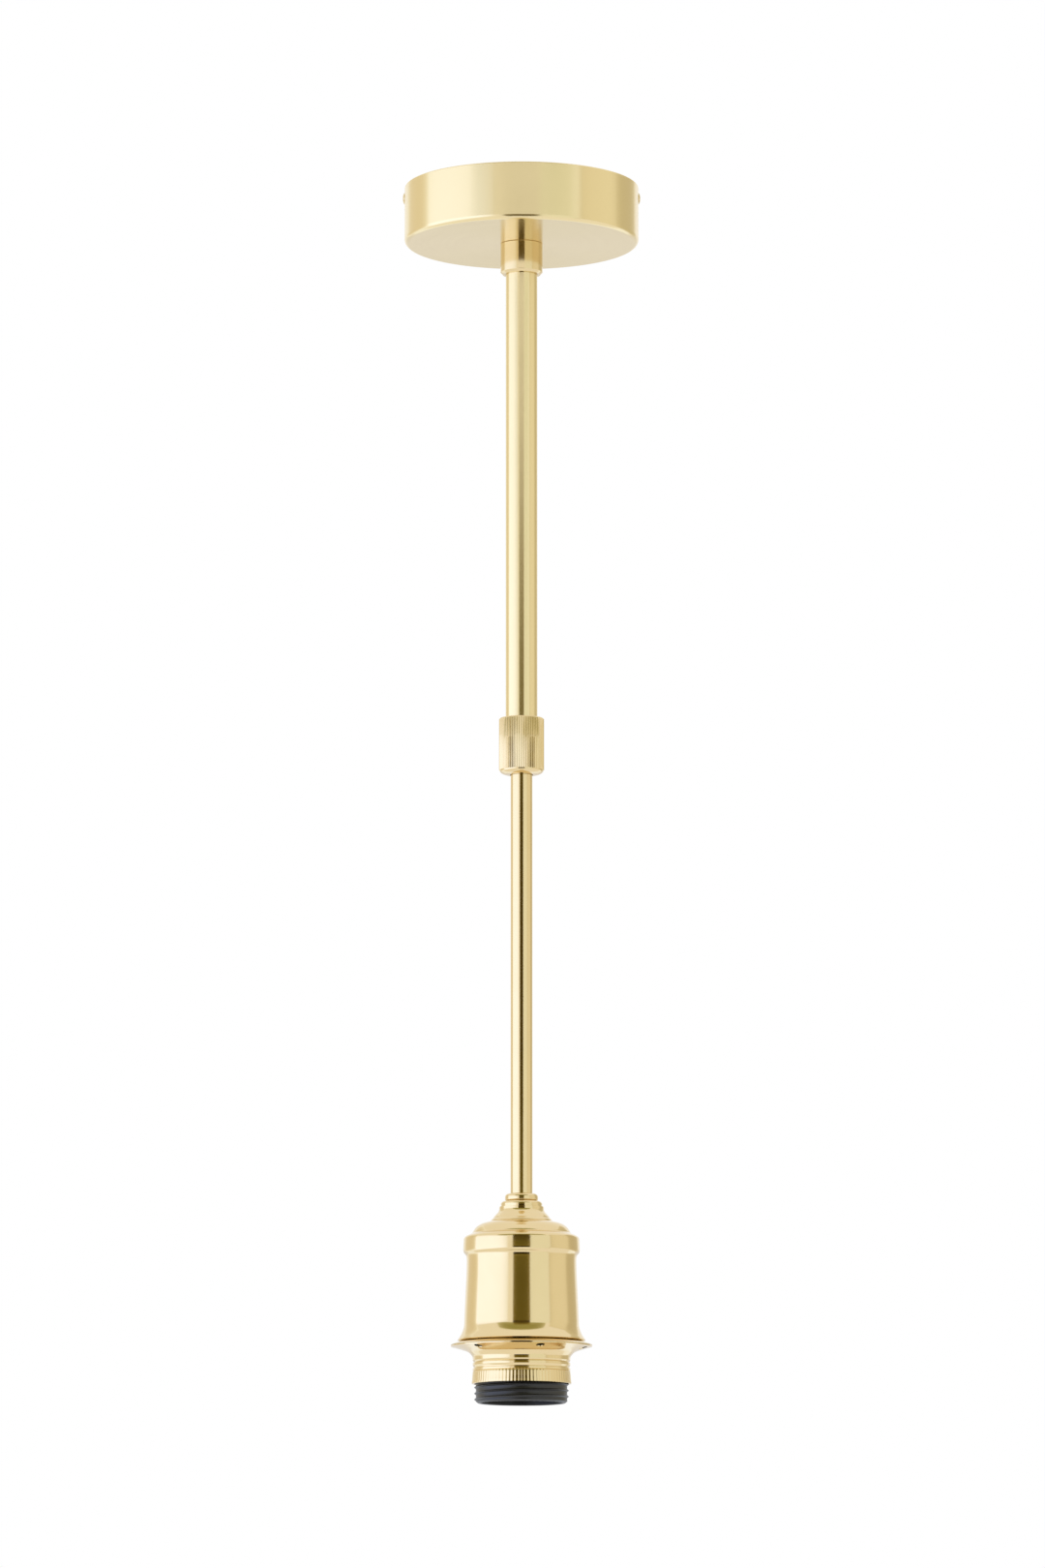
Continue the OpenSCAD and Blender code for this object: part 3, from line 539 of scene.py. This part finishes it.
def modify(piece, kind, **settings):
    """Adds a modifier with these settings and applies it."""
    pick(piece)
    bpy.ops.object.modifier_add(type=kind)
    modifier = piece.modifiers[-1]
    for name, value in settings.items():
        setattr(modifier, name, value)
    bpy.ops.object.modifier_apply(modifier=modifier.name)


def combine(piece, tool, operation):
    """Cuts a piece with a tool, or keeps what they share, and takes the tool away."""
    modify(piece, "BOOLEAN", object=tool, operation=operation, solver="EXACT")
    bpy.data.objects.remove(tool)


def join(*pieces):
    """Makes one object of several shells, under the last one's name."""
    pick(*pieces)
    bpy.ops.object.join()
    return pieces[-1]


def bar(radius, length, middle, turn=(0, 0, 0), sides=SCREW_ROUND):
    """A round bar to cut with."""
    clear()
    bpy.ops.mesh.primitive_cylinder_add(
        vertices=sides,
        radius=radius * MM,
        depth=length * MM,
        location=[c * MM for c in middle],
        rotation=turn,
    )
    bpy.ops.object.transform_apply()
    return bpy.context.object


def block(size, middle, turn):
    """A square block to cut with."""
    clear()
    bpy.ops.mesh.primitive_cube_add(
        size=1, location=[c * MM for c in middle], rotation=turn
    )
    bpy.context.object.scale = [s * MM for s in size]
    bpy.ops.object.transform_apply()
    return bpy.context.object


def finish(piece, body, slot, *nodes, smooth=SMOOTH_BELOW, even=True):
    """Smooths a piece, gives it its material and puts it in the place of its CAD nodes."""
    pick(piece)
    bpy.ops.object.shade_smooth_by_angle(angle=smooth)
    if even:
        modify(piece, "WEIGHTED_NORMAL", keep_sharp=True)
    piece.data.materials.clear()
    piece.data.materials.append(MATERIALS[slot])
    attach(piece, body)
    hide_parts(*nodes)
    return piece


# ---- ceiling side ----

# gap between a bore and the tube or rod in it
BORE_FIT = 0.05

ROSE_WALL = 1.2
ROSE_EDGE = 2.0
ROSE_RIM = 0.5
ROSE_HOLE_R = 5.2
SIDE_SCREW_DROP = 4.5
SIDE_SCREW_R = 1.5
SIDE_SCREW_FIT = 0.2


def rose():
    """The spun cup on the ceiling, with a hole for each side screw."""
    outer = [
        (ROSE_HOLE_R, ROSE_LOW),
        *arc(ROSE_R - ROSE_EDGE, ROSE_LOW + ROSE_EDGE, ROSE_EDGE, -90, 0, 12),
        *arc(ROSE_R - ROSE_RIM, CEILING - ROSE_RIM, ROSE_RIM, 0, 90, 4),
    ]
    inner = [
        (ROSE_R - ROSE_WALL, CEILING),
        *arc(ROSE_R - ROSE_EDGE, ROSE_LOW + ROSE_EDGE, ROSE_EDGE - ROSE_WALL, 0, -90, 8),
        (ROSE_HOLE_R, ROSE_LOW + ROSE_WALL),
    ]
    piece = turned("rose_spun", outer + inner, WIDE_ROUND)
    hole = bar(
        SIDE_SCREW_R + SIDE_SCREW_FIT,
        3 * ROSE_R,
        (0, 0, -SIDE_SCREW_DROP),
        (0, math.pi / 2, 0),
    )
    combine(piece, hole, "DIFFERENCE")
    finish(piece, "ceiling_side", "satin_brass", "rose_cup")


def side_screws():
    """Two slotted screws with low round heads, through the rose's wall."""
    head_r = 2.6
    head_h = 0.8
    head_edge = 0.1
    sunk = 0.2
    shank_l = 4.6
    shank_end = 0.3
    pole_r = 0.01
    slot_size = (0.7, 8, 1.4)
    slot_turn = 0.5
    made = []
    for side in (-1, 1):
        dome = arc(pole_r, -sunk, head_r - pole_r, 0, 88, 8, head_h + sunk)
        outline = [
            (pole_r, -shank_l),
            (SIDE_SCREW_R - shank_end, -shank_l),
            (SIDE_SCREW_R, -shank_l + shank_end),
            (SIDE_SCREW_R, 0),
            (head_r - head_edge, 0),
            *dome[1:],
        ]
        piece = turned(f"side_screw_{side}", outline, SCREW_ROUND)
        slot_cut = block(slot_size, (0, 0, head_h), (0, 0, slot_turn * side))
        combine(piece, slot_cut, "DIFFERENCE")
        piece.rotation_euler = (0, side * math.pi / 2, 0)
        piece.location = (side * ROSE_R * MM, 0, -SIDE_SCREW_DROP * MM)
        pick(piece)
        bpy.ops.object.transform_apply()
        made.append(piece)
    piece = join(*made)
    piece.name = "side_screws_slotted"
    finish(piece, "ceiling_side", "polished_brass", "rose_side_screws")


def boss():
    """The turned boss under the rose, which holds the nipple above and the tube below."""
    tube_bore = TUBE_R + BORE_FIT
    nipple_bore = 5.05
    lead_bore = 3.5
    shelf = BOSS_LOW + 7.4
    step = ROSE_LOW - 5
    top_edge = 0.3
    chamfer = 1.1
    chamfer_top = 0.2
    chamfer_low = 0.15
    outline = [
        (nipple_bore, BOSS_TOP),
        (BOSS_R - top_edge, BOSS_TOP),
        *arc(BOSS_R - top_edge, BOSS_TOP - top_edge, top_edge, 60, 0, 3),
        *arc(BOSS_R - chamfer_top, BOSS_LOW + chamfer, chamfer_top, 0, -45, 3),
        *arc(BOSS_R - chamfer, BOSS_LOW + chamfer_low, chamfer_low, -45, -90, 3),
        (tube_bore, BOSS_LOW),
        (tube_bore, shelf),
        (lead_bore, shelf),
        (lead_bore, step),
        (nipple_bore, step),
    ]
    finish(turned("boss_turned", outline), "ceiling_side", "polished_brass", "stem_boss")


TUBE_WALL = 1.5
ROD_WALL = 1.1
PIPE_EDGE = 0.15


def pipe(name, radius, wall, low, high):
    """A tube with its ends' edges taken off."""
    outline = [
        (radius - wall, low),
        (radius - PIPE_EDGE, low),
        (radius, low + PIPE_EDGE),
        (radius, high - PIPE_EDGE),
        (radius - PIPE_EDGE, high),
        (radius - wall, high),
    ]
    return turned(name, outline, PIPE_ROUND)


def tubes():
    """The brushed upper tube and the polished rod that slides in it."""
    upper = pipe("upper_tube_brushed", TUBE_R, TUBE_WALL, TUBE_LOW, TUBE_TOP)
    finish(upper, "ceiling_side", "satin_brass", "upper_tube")
    lower = pipe("lower_rod_polished", ROD_R, ROD_WALL, ROD_LOW, ROD_TOP)
    finish(lower, "drop_rod", "polished_brass", "lower_rod")


# ---- clamp collar ----

KNURL_TEETH = 66
KNURL_DEPTH = 0.22
KNURL_ROOTS = [1.0, 0.75, 0.25, 0, 0.25, 0.75]
COLLAR_END = 2.0
ROD_HOLE_R = 4.9


def collar():
    """The knurled collar, with a chamfer above and a plain round end below."""
    chamfer = 0.45
    run_out = 0.1
    tube_gap = 0.2
    tube_depth = 3.4
    thread_bore = 7.55
    end_wall = 2.3
    end_flat = 0.4
    plain_r = COLLAR_R - KNURL_DEPTH
    knurl_low = COLLAR_LOW + COLLAR_END
    grip = fluted(
        "collar_grip",
        [
            (COLLAR_R - chamfer, COLLAR_TOP),
            (COLLAR_R, COLLAR_TOP - chamfer),
            (COLLAR_R, knurl_low + run_out),
            (COLLAR_R - run_out, knurl_low),
        ],
        KNURL_TEETH,
        KNURL_DEPTH,
        KNURL_ROOTS,
    )
    flat_r = ROD_HOLE_R + end_flat
    end = turned(
        "collar_knurled",
        [
            (ROD_HOLE_R, knurl_low + 1),
            (plain_r, knurl_low + 1),
            *arc(flat_r, knurl_low, plain_r - flat_r, 0, -90, 12, COLLAR_END),
            (ROD_HOLE_R, COLLAR_LOW),
        ],
    )
    for radius, low, high in (
        (TUBE_R + tube_gap, COLLAR_TOP - tube_depth, COLLAR_TOP + 1),
        (thread_bore, COLLAR_LOW + end_wall, COLLAR_TOP - tube_depth),
        (ROD_HOLE_R, COLLAR_LOW - 1, COLLAR_LOW + end_wall + 0.1),
    ):
        hole = bar(radius, high - low, (0, 0, (low + high) / 2), sides=BORE_ROUND)
        combine(grip, hole, "DIFFERENCE")
    finish(
        join(grip, end),
        "collar",
        "polished_brass",
        "clamp_collar",
        smooth=SMOOTH_KNURL,
        even=False,
    )


# ---- top of the lampholder ----

# how much lower these tops are than in the CAD
NUT_DROP = 0.7
FERRULE_DROP = 0.3


def entry_nut():
    """The small round nut on the ferrule."""
    bore = ROD_R + BORE_FIT
    top = NUT_TOP - NUT_DROP
    low = NUT_LOW - FERRULE_DROP
    outline = [
        (bore, top),
        (NUT_R - 1.5, top),
        *arc(NUT_R - 1.3, top - 1.5, 1.3, 80, 0, 8, 1.4),
        *arc(NUT_R - 0.8, low + 0.9, 0.8, 0, -90, 6, 0.9),
        (bore, low),
    ]
    piece = turned("entry_nut_turned", outline, PIPE_ROUND)
    finish(piece, "drop_rod", "polished_brass", "entry_locknut")


def ferrule():
    """The stepped ferrule between the nut and the cover."""
    bore = ROD_R + BORE_FIT
    top = FERRULE_TOP - FERRULE_DROP
    outline = [
        (bore, top),
        (FERRULE_R - 1.7, top),
        *arc(FERRULE_R - 1.5, top - 1.5, 1.45, 80, 5, 8, 1.4),
        (8.5, COVER_TOP + 0.25),
        (8.35, COVER_TOP),
        (bore, COVER_TOP),
    ]
    piece = turned("ferrule_turned", outline, PIPE_ROUND)
    finish(piece, "drop_rod", "polished_brass", "cover_ferrule")


COVER_WALL = 0.8
COVER_HOLE = [(4.85, 0.0), (8.2, 0.0)]

# curves of the cover, from its top down to its lip: radius and drop below the cover's top
FLARE = [(8.55, 0.02), (8.65, 0.8), (9.15, 1.9), (10.15, 3.0), (10.95, 3.95), (11.3, 4.6)]
SHOULDER = [(11.6, 4.85), (11.95, 5.1), (12.15, 5.4), (12.25, 5.75)]
DOME = [(12.6, 5.95), (13.8, 6.35), (16.7, 7.2), (18.5, 8.4), (19.5, 9.8), (19.95, 10.75)]
STEP = [(20.2, 11.0), (21.1, 11.5), (22.4, 12.05), (23.15, 12.5), (23.4, 12.9)]
BEAD = [(23.45, 13.3), (23.55, 15.2), (23.6, 16.8), (23.58, 17.6), (23.4, 18.15), (23.0, 18.6)]
BODY = [
    (22.65, 19.0),
    (22.35, 19.7),
    (22.2, 20.8),
    (22.16, 22.2),
    (22.28, 27.0),
    (22.6, 34.0),
    (22.97, 42.0),
]
LIP = [
    (23.2, 48.2),
    (23.3, 49.2),
    (23.52, 50.2),
    (23.86, 51.3),
    (24.36, 52.5),
    (25.0, 53.7),
    (25.66, 54.7),
]

# each curve, in the order of the outline, and how many steps it has between two points
COVER_CURVES = [
    (FLARE, 4),
    (SHOULDER, 3),
    (DOME, 4),
    (STEP, 4),
    (BEAD, 4),
    (BODY, 4),
    (LIP, 4),
]


def below(top, points):
    """Outline points given as radius and drop below a level."""
    return [(radius, top - drop) for radius, drop in points]


def cover():
    """The spun cover, turned as one sheet and then given its wall."""
    outline = below(COVER_TOP, COVER_HOLE)
    for curve, steps in COVER_CURVES:
        outline += flowing(below(COVER_TOP, curve), steps)
    outline.append((LIP_R, LIP_LOW))
    piece = turned("cover_spun", outline, closed=False)
    modify(piece, "SOLIDIFY", thickness=COVER_WALL * MM, offset=-1, use_even_offset=True)
    weld(piece)
    finish(piece, "drop_rod", "polished_brass", "brass_cover")


# ---- clamp washer and gallery ring ----

RING_BORE = 19.8
RIB_R = 20.4
RIB_H = 0.5
VENTS = 6
VENT_R = 1.8
VENT_RING_R = 26.3
VENT_TURN = math.radians(17.2 - 90)
FLUTES = 84
FLUTE_DEPTH = 0.12
FLUTE_ROOTS = [1.0, 0.44, 0.11, 0, 0.11, 0.44]

# radius and drop below the ring's top, outside and inside
TRUMPET_OUTSIDE = [
    (29.5, 0.45),
    (28.7, 0.65),
    (27.4, 0.98),
    (25.6, 1.5),
    (23.6, 2.15),
    (22.1, 2.85),
    (21.2, 3.75),
    (20.6, 4.55),
    (RIB_R, 5.3),
    (RIB_R, 6.2),
    (RIB_R - 0.06, 6.35),
    (RIB_R - RIB_H, 7.1),
]
TRUMPET_INSIDE = [
    (RING_BORE, 5.0),
    (20.2, 4.2),
    (20.85, 3.4),
    (21.9, 2.55),
    (23.5, 1.83),
    (25.5, 1.18),
    (27.3, 0.67),
    (28.6, 0.33),
]
TRUMPET_LOW = 11.1

# drops of each rib's top, of its face's lower end and of its foot
RIBS = [(7.15, 8.4, 9.3), (9.45, 10.6, 10.95)]

# radius and drop of the fluted band, then radius and height above its lower end
BAND_TOP = [(20.15, 0), (20.35, 0.25), (20.42, 0.8), (20.5, 1.8)]
BAND_TOP_DROP = 10.7
BAND_LOW = [(20.65, 1.4), (20.8, 0.5), (20.75, 0.1), (20.6, 0)]


def washer():
    """The dished washer above the shade, which carries on the line of the lip."""
    slope = [
        (LIP_R + 0.1, WASHER_TOP - 0.06),
        (27.2, WASHER_TOP - 0.35),
        (28.4, WASHER_TOP - 0.8),
        (29.3, WASHER_TOP - 1.25),
    ]
    outline = [
        (RING_BORE, WASHER_TOP),
        (LIP_R - 0.4, WASHER_TOP),
        *flowing(slope, 4),
        (RIM_R, WASHER_LOW + 0.08),
        (RIM_R - 0.08, WASHER_LOW),
        (RIM_R - 1.5, WASHER_LOW),
        (RIM_R - 3.6, WASHER_LOW + 0.6),
        (RING_BORE, WASHER_LOW + 0.7),
    ]
    piece = turned("clamp_washer_pressed", outline, WIDE_ROUND)
    finish(piece, "washer", "polished_brass", "clamp_washer")


def gallery():
    """The pressed gallery ring: a trumpet with vent holes, a ribbed neck and a fluted band."""
    outer = flowing(below(RING_TOP, TRUMPET_OUTSIDE), 4)
    for top, face_low, low in RIBS:
        rib = [
            (RIB_R - RIB_H, top),
            (RIB_R - 0.1, top + 0.12),
            (RIB_R, top + 0.35),
            (RIB_R, face_low - 0.1),
            (RIB_R - 0.06, face_low),
            (RIB_R - RIB_H, low),
        ]
        outer += flowing(below(RING_TOP, rib), 3)
    inner = flowing(below(RING_TOP, TRUMPET_INSIDE), 3)
    outline = [
        (RIM_R - 0.05, RING_TOP),
        *outer,
        (RING_BORE, RING_TOP - TRUMPET_LOW),
        *inner,
        (28.9, RING_TOP),
    ]
    trumpet = turned("gallery_trumpet", outline, WIDE_ROUND)
    for i in range(VENTS):
        angle = VENT_TURN + 2 * math.pi * i / VENTS
        x, y = VENT_RING_R * math.cos(angle), VENT_RING_R * math.sin(angle)
        vent = bar(VENT_R, 8, (x, y, RING_TOP - 3), sides=VENT_ROUND)
        combine(trumpet, vent, "DIFFERENCE")
    band_top = RING_TOP - BAND_TOP_DROP
    band = fluted(
        "gallery_ring_pressed",
        below(band_top, BAND_TOP) + [(radius, RING_LOW + up) for radius, up in BAND_LOW],
        FLUTES,
        FLUTE_DEPTH,
        FLUTE_ROOTS,
    )
    combine(band, bar(RING_BORE, 20, (0, 0, RING_LOW + 5), sides=ROUND), "DIFFERENCE")
    finish(join(trumpet, band), "gallery", "polished_brass", "gallery_ring", even=False)


# ---- screw threads ----

THREAD_STEPS = 96


def wire(name, points):
    """A chain of edges in the XZ plane: one corner, pulled from point to point."""
    clear()
    radius, level = points[0]
    bpy.ops.mesh.primitive_plane_add(size=MM, location=(radius * MM, 0, level * MM))
    piece = bpy.context.object
    piece.name = name
    bpy.ops.object.transform_apply()
    edit(piece)
    bpy.ops.mesh.merge(type="CENTER")
    for (radius, level), (next_radius, next_level) in zip(points, points[1:]):
        shift = ((next_radius - radius) * MM, 0, (next_level - level) * MM)
        bpy.ops.mesh.extrude_vertices_move(TRANSFORM_OT_translate={"value": shift})
    bpy.ops.object.mode_set(mode="OBJECT")
    return piece


def thread(name, crest, root, pitch, low, high, rise):
    """A helical surface between two levels. The rise of one turn gives, at shares of the pitch,
    shares of the way from the root to the crest."""
    turns = math.ceil((high - low) / pitch) + 2
    points = [(root + (crest - root) * share, low - pitch + pitch * t) for t, share in rise]
    piece = wire(name, points)
    modify(
        piece,
        "SCREW",
        axis="Z",
        angle=2 * math.pi,
        screw_offset=pitch * MM,
        iterations=turns,
        steps=THREAD_STEPS,
        render_steps=THREAD_STEPS,
        use_merge_vertices=True,
        merge_threshold=WELD,
    )
    weld(piece)
    return piece


def slice_off(piece, level, upper, fill):
    """Cuts away what lies above or below a level."""
    edit(piece)
    bpy.ops.mesh.bisect(
        plane_co=(0, 0, level * MM),
        plane_no=(0, 0, 1),
        use_fill=fill,
        clear_outer=upper,
        clear_inner=not upper,
    )
    bpy.ops.object.mode_set(mode="OBJECT")


SKIRT_BORE = 17.2
SKIRT_PITCH = 2.5
SKIRT_DEPTH = 0.7
SKIRT_RISE = [
    (0, 0),
    (0.2, 0.02),
    (0.32, 0.2),
    (0.42, 0.75),
    (0.5, 1),
    (0.58, 0.75),
    (0.68, 0.2),
    (0.8, 0.02),
    (1, 0),
]


def skirt():
    """The black skirt: a shade ring's thread outside, a plain bore, and a chamfered mouth."""
    root = SKIRT_R - SKIRT_DEPTH
    bore_edge = 0.4
    thread_top = WASHER_TOP
    ridge = thread(
        "skirt_threaded", SKIRT_R, root, SKIRT_PITCH, MOUTH - 1, thread_top, SKIRT_RISE
    )
    slice_off(ridge, MOUTH - 0.5, upper=False, fill=True)
    slice_off(ridge, thread_top, upper=True, fill=True)
    weld(ridge)
    envelope = turned(
        "skirt_envelope",
        [
            (SKIRT_BORE, thread_top + 1),
            (SKIRT_R + 1, thread_top + 1),
            (SKIRT_R + 1, MOUTH + 2.1),
            (SKIRT_R - 1.35, MOUTH + 0.15),
            (SKIRT_R - 1.6, MOUTH),
            (SKIRT_BORE + bore_edge, MOUTH),
            (SKIRT_BORE, MOUTH + bore_edge),
        ],
    )
    combine(ridge, envelope, "INTERSECT")
    sleeve = turned(
        "skirt_sleeve",
        [
            (SKIRT_BORE, SKIRT_TOP),
            (root, SKIRT_TOP),
            (root, thread_top),
            (SKIRT_BORE, thread_top),
        ],
    )
    finish(join(sleeve, ridge), "drop_rod", "black_moulding", "skirt", even=False)


SHELL_PITCH = 3.62
SHELL_STEP = 4.2
SHELL_SHEET = 0.3
SHELL_HOLE_R = 2.6
SHELL_CUP_R = 12.2
SHELL_CUP_WALL = 0.5
SHELL_RISE = [
    (0, 0),
    (0.12, 0.15),
    (0.25, 0.5),
    (0.38, 0.85),
    (0.5, 1),
    (0.62, 0.85),
    (0.75, 0.5),
    (0.88, 0.15),
    (1, 0),
]


def shell():
    """The rolled screw shell, with its plain top round the centre contact."""
    thread_top = SHELL_TOP - SHELL_STEP
    crest = SHELL_R - 0.1
    root = SHELL_R - 0.85
    rolled = thread(
        "shell_rolled", crest, root, SHELL_PITCH, SHELL_LOW, thread_top, SHELL_RISE
    )
    slice_off(rolled, SHELL_LOW, upper=False, fill=False)
    slice_off(rolled, thread_top, upper=True, fill=False)
    modify(rolled, "SOLIDIFY", thickness=SHELL_SHEET * MM, offset=-1)
    seam_r = SHELL_R - 0.2
    inside_r = SHELL_CUP_R - SHELL_CUP_WALL
    cup = turned(
        "shell_cup",
        [
            (SHELL_HOLE_R, SHELL_TOP),
            (SHELL_CUP_R, SHELL_TOP),
            (SHELL_CUP_R, thread_top + 0.3),
            (seam_r, thread_top + 0.3),
            (seam_r, thread_top - 0.1),
            (inside_r, thread_top - 0.1),
            (inside_r, SHELL_TOP - SHELL_CUP_WALL),
            (SHELL_HOLE_R, SHELL_TOP - SHELL_CUP_WALL),
        ],
        BORE_ROUND,
    )
    finish(join(cup, rolled), "drop_rod", "nickel_plate", "screw_shell", even=False)


# ---- fittings that keep their CAD shape ----

FLAT_BELOW = math.radians(1.5)
BEVEL_ABOVE = math.radians(40)

# how wide the edges of each fitting are broken, in mm
EDGES = {
    "mounting_bracket": 0.25,
    "terminal_block": 0.5,
    "terminal_tubes": 0.1,
    "terminal_screws": 0.15,
    "earth_screw": 0.2,
    "earth_washer": 0.1,
    "cord_grip": 0.5,
    "grip_screws": 0.15,
    "nipple_locknut": 0.3,
    "star_washer": 0.1,
    "hollow_nipple": 0.3,
    "terminal_carrier": 0.4,
    "centre_contact": 0.25,
    "shell_rivets": 0.15,
}

# the joint that shortens each of these pieces, and its travel in mm
COILS = {
    "curled_lead": ("rise_fall", 130),
    "contact_spring": ("centre_contact_press", 1.5),
}


def copied(node, ending):
    """A welded copy of a CAD piece."""
    source = frame["nodes"][node]
    piece = bpy.data.objects.new(node + ending, source.data.copy())
    bpy.context.scene.collection.objects.link(piece)
    weld(piece)
    return piece, source["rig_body"]


def edged(node, edge):
    """Puts a copy with broken edges in a CAD piece's place."""
    piece, body = copied(node, "_edged")
    edit(piece)
    bpy.ops.mesh.dissolve_limited(angle_limit=FLAT_BELOW)
    bpy.ops.object.mode_set(mode="OBJECT")
    modify(
        piece,
        "BEVEL",
        width=edge * MM,
        segments=2,
        limit_method="ANGLE",
        angle_limit=BEVEL_ABOVE,
        use_clamp_overlap=True,
    )
    finish(piece, body, SLOT_OF[node], node)


def coiled(node):
    """Puts a copy in a CAD piece's place, with a mesh of its own."""
    piece, body = copied(node, "_coiled")
    finish(piece, body, SLOT_OF[node], node, even=False)
    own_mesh(piece)


def fittings():
    """Dresses every CAD piece that has no new shape of its own."""
    for node, edge in EDGES.items():
        edged(node, edge)
    for node, (joint, travel) in COILS.items():
        coiled(node)
    for node, piece in frame["nodes"].items():
        if not piece.hide_render:
            piece.data.materials.clear()
            piece.data.materials.append(MATERIALS[SLOT_OF[node]])


# ---- studio ----

WORLD_FILL = 0.7
FLOOR_Z = -5.0
FLOOR_SIZE = 60
CARD_AWAY = 4.5
NEAR_AWAY = 0.7
FAR_AWAY = 20

# lower and upper end of a card, in degrees above the pendant's middle
FRONT = (-38, 20.6)
SIDE = (-20, 35)


def glow(name, middle, edge, spot, across, up):
    """A card's own light: one colour in the middle, another towards its edges."""
    paint = Paint(name, Base_Color=(0, 0, 0, 1), Roughness=1.0, Specular_IOR_Level=0.0)
    x, y, z = paint.place()
    side = ((x - spot[0]) * across[0] + (y - spot[1]) * across[1]) ** 4
    height = ((z - spot[2]) * up) ** 4
    faded = paint.sum("MINIMUM", side + height, 1.0)
    return paint.wear(Emission_Color=paint.shades(faded, middle, edge), Emission_Strength=1.0)


def card(name, azimuth, half_width, low, high, middle, edge=None, away=CARD_AWAY, lights=False):
    """A card round the pendant that only its metal sees, unless it lights the pendant as well.
    Azimuth 0 is the camera's side and 90 is +X; all angles are in degrees."""
    clear()
    turn = math.radians(azimuth)
    bottom = away * math.tan(math.radians(low))
    top = away * math.tan(math.radians(high))
    half = away * math.tan(math.radians(half_width))
    spot = (away * math.sin(turn), -away * math.cos(turn), AIM_Z + (bottom + top) / 2)
    bpy.ops.mesh.primitive_plane_add(size=1, location=spot, rotation=(math.pi / 2, 0, turn))
    piece = bpy.context.object
    piece.name = name
    piece.scale = (2 * half, top - bottom, 1)
    bpy.ops.object.transform_apply()
    across = (math.cos(turn) / half, math.sin(turn) / half)
    up = 2 / (top - bottom)
    piece.data.materials.append(glow(name, middle, edge or middle, spot, across, up))
    piece.visible_camera = False
    piece.visible_shadow = False
    piece.visible_diffuse = lights
    piece.visible_transmission = False


def white_when_seen(tree, lit, seen, output):
    """Mixes in a plain white shader for what the camera sees, straight or in metal and glass."""
    path = tree.nodes.new("ShaderNodeLightPath").outputs
    total = path["Is Camera Ray"]
    for name in ("Is Glossy Ray", "Is Transmission Ray"):
        either = tree.nodes.new("ShaderNodeMath")
        either.operation = "MAXIMUM"
        tree.links.new(total, either.inputs[0])
        tree.links.new(path[name], either.inputs[1])
        total = either.outputs[0]
    both = tree.nodes.new("ShaderNodeMixShader")
    tree.links.new(total, both.inputs["Fac"])
    tree.links.new(lit.outputs[0], both.inputs[1])
    tree.links.new(seen.outputs[0], both.inputs[2])
    tree.links.new(both.outputs[0], output.inputs["Surface"])


def background(tree, strength):
    """White light from all round."""
    made = tree.nodes.new("ShaderNodeBackground")
    made.inputs["Color"].default_value = (1, 1, 1, 1)
    made.inputs["Strength"].default_value = strength
    return made


def pale_world():
    """A soft fill, which the camera and the metal see as plain white."""
    world = bpy.data.worlds.new("studio")
    bpy.context.scene.world = world
    world.use_nodes = True
    tree = world.node_tree
    tree.nodes.clear()
    output = tree.nodes.new("ShaderNodeOutputWorld")
    white_when_seen(tree, background(tree, WORLD_FILL), background(tree, 1.0), output)


def pale_floor():
    """The floor lies lower than any camera that looks up at the pendant."""
    clear()
    bpy.ops.mesh.primitive_plane_add(size=FLOOR_SIZE, location=(0, 0, FLOOR_Z))
    piece = bpy.context.object
    piece.name = "pale_floor"
    bpy.ops.object.transform_apply()
    paint = Paint("pale_floor", Base_Color=(0.9, 0.9, 0.9, 1), Roughness=0.9)
    white = paint.tree.nodes.new("ShaderNodeEmission")
    white_when_seen(paint.tree, paint.shader, white, paint.tree.nodes["Material Output"])
    piece.data.materials.append(paint.material)


def softboxes():
    """Bright cards on both sides of the camera. The left one also lights the pendant."""
    card("left_softbox", -75, 47, *FRONT, (1.35, 1.5, 2.0), (1.12, 1.2, 1.4), lights=True)
    card("right_softbox", 38, 20, *FRONT, (0.96, 1.0, 0.95))
    card("right_edge", 60.5, 1.5, *FRONT, (0.8, 0.78, 0.66))


def walls():
    """Cream walls at the sides, and grey and cool sweeps behind, which the metal shows as tones."""
    card("right_wall", 84, 22, *SIDE, (0.92, 0.89, 0.76), (0.86, 0.82, 0.68))
    card("far_right_wall", 127, 21, *SIDE, (0.66, 0.61, 0.46), (0.82, 0.78, 0.64))
    card("far_left_wall", -128, 24, *SIDE, (0.86, 0.80, 0.66), (1.1, 1.15, 1.2))
    card("grey_sweep", 180, 55, -24, 0, (0.83, 0.83, 0.85), (1.0, 1.0, 1.0))
    card("low_sweep", 180, 60, -44, -24, (1.1, 1.18, 1.32))


def dark_cards():
    """Dark cards before the pendant, which draw the dark line down its middle, and a rail and a
    board high behind the camera, which shade what looks up at them."""
    gap, gap_edge = (0.14, 0.11, 0.02), (0.28, 0.22, 0.05)
    card("dark_gap", 0, 17, -20.6, 19.7, gap, gap_edge, away=NEAR_AWAY)
    card("dark_slot", 0, 17, -6.0, 8.8, (0.08, 0.055, 0.01), away=NEAR_AWAY - 0.01)
    card("dark_below", 0, 17, -36, -20.6, (0.03, 0.02, 0.004), away=NEAR_AWAY)
    card("dark_rail", 0, 57, 21.4, 22.2, (0.10, 0.08, 0.02), away=FAR_AWAY)
    board, board_edge = (0.36, 0.34, 0.12), (0.72, 0.70, 0.5)
    card("brown_board", 0, 52, 22.2, 57.4, board, board_edge, away=FAR_AWAY)


stand_camera()
rose()
side_screws()
boss()
tubes()
collar()
entry_nut()
ferrule()
cover()
washer()
gallery()
skirt()
shell()
fittings()
pale_world()
pale_floor()
softboxes()
walls()
dark_cards()
bpy.context.scene.view_settings.view_transform = "Standard"
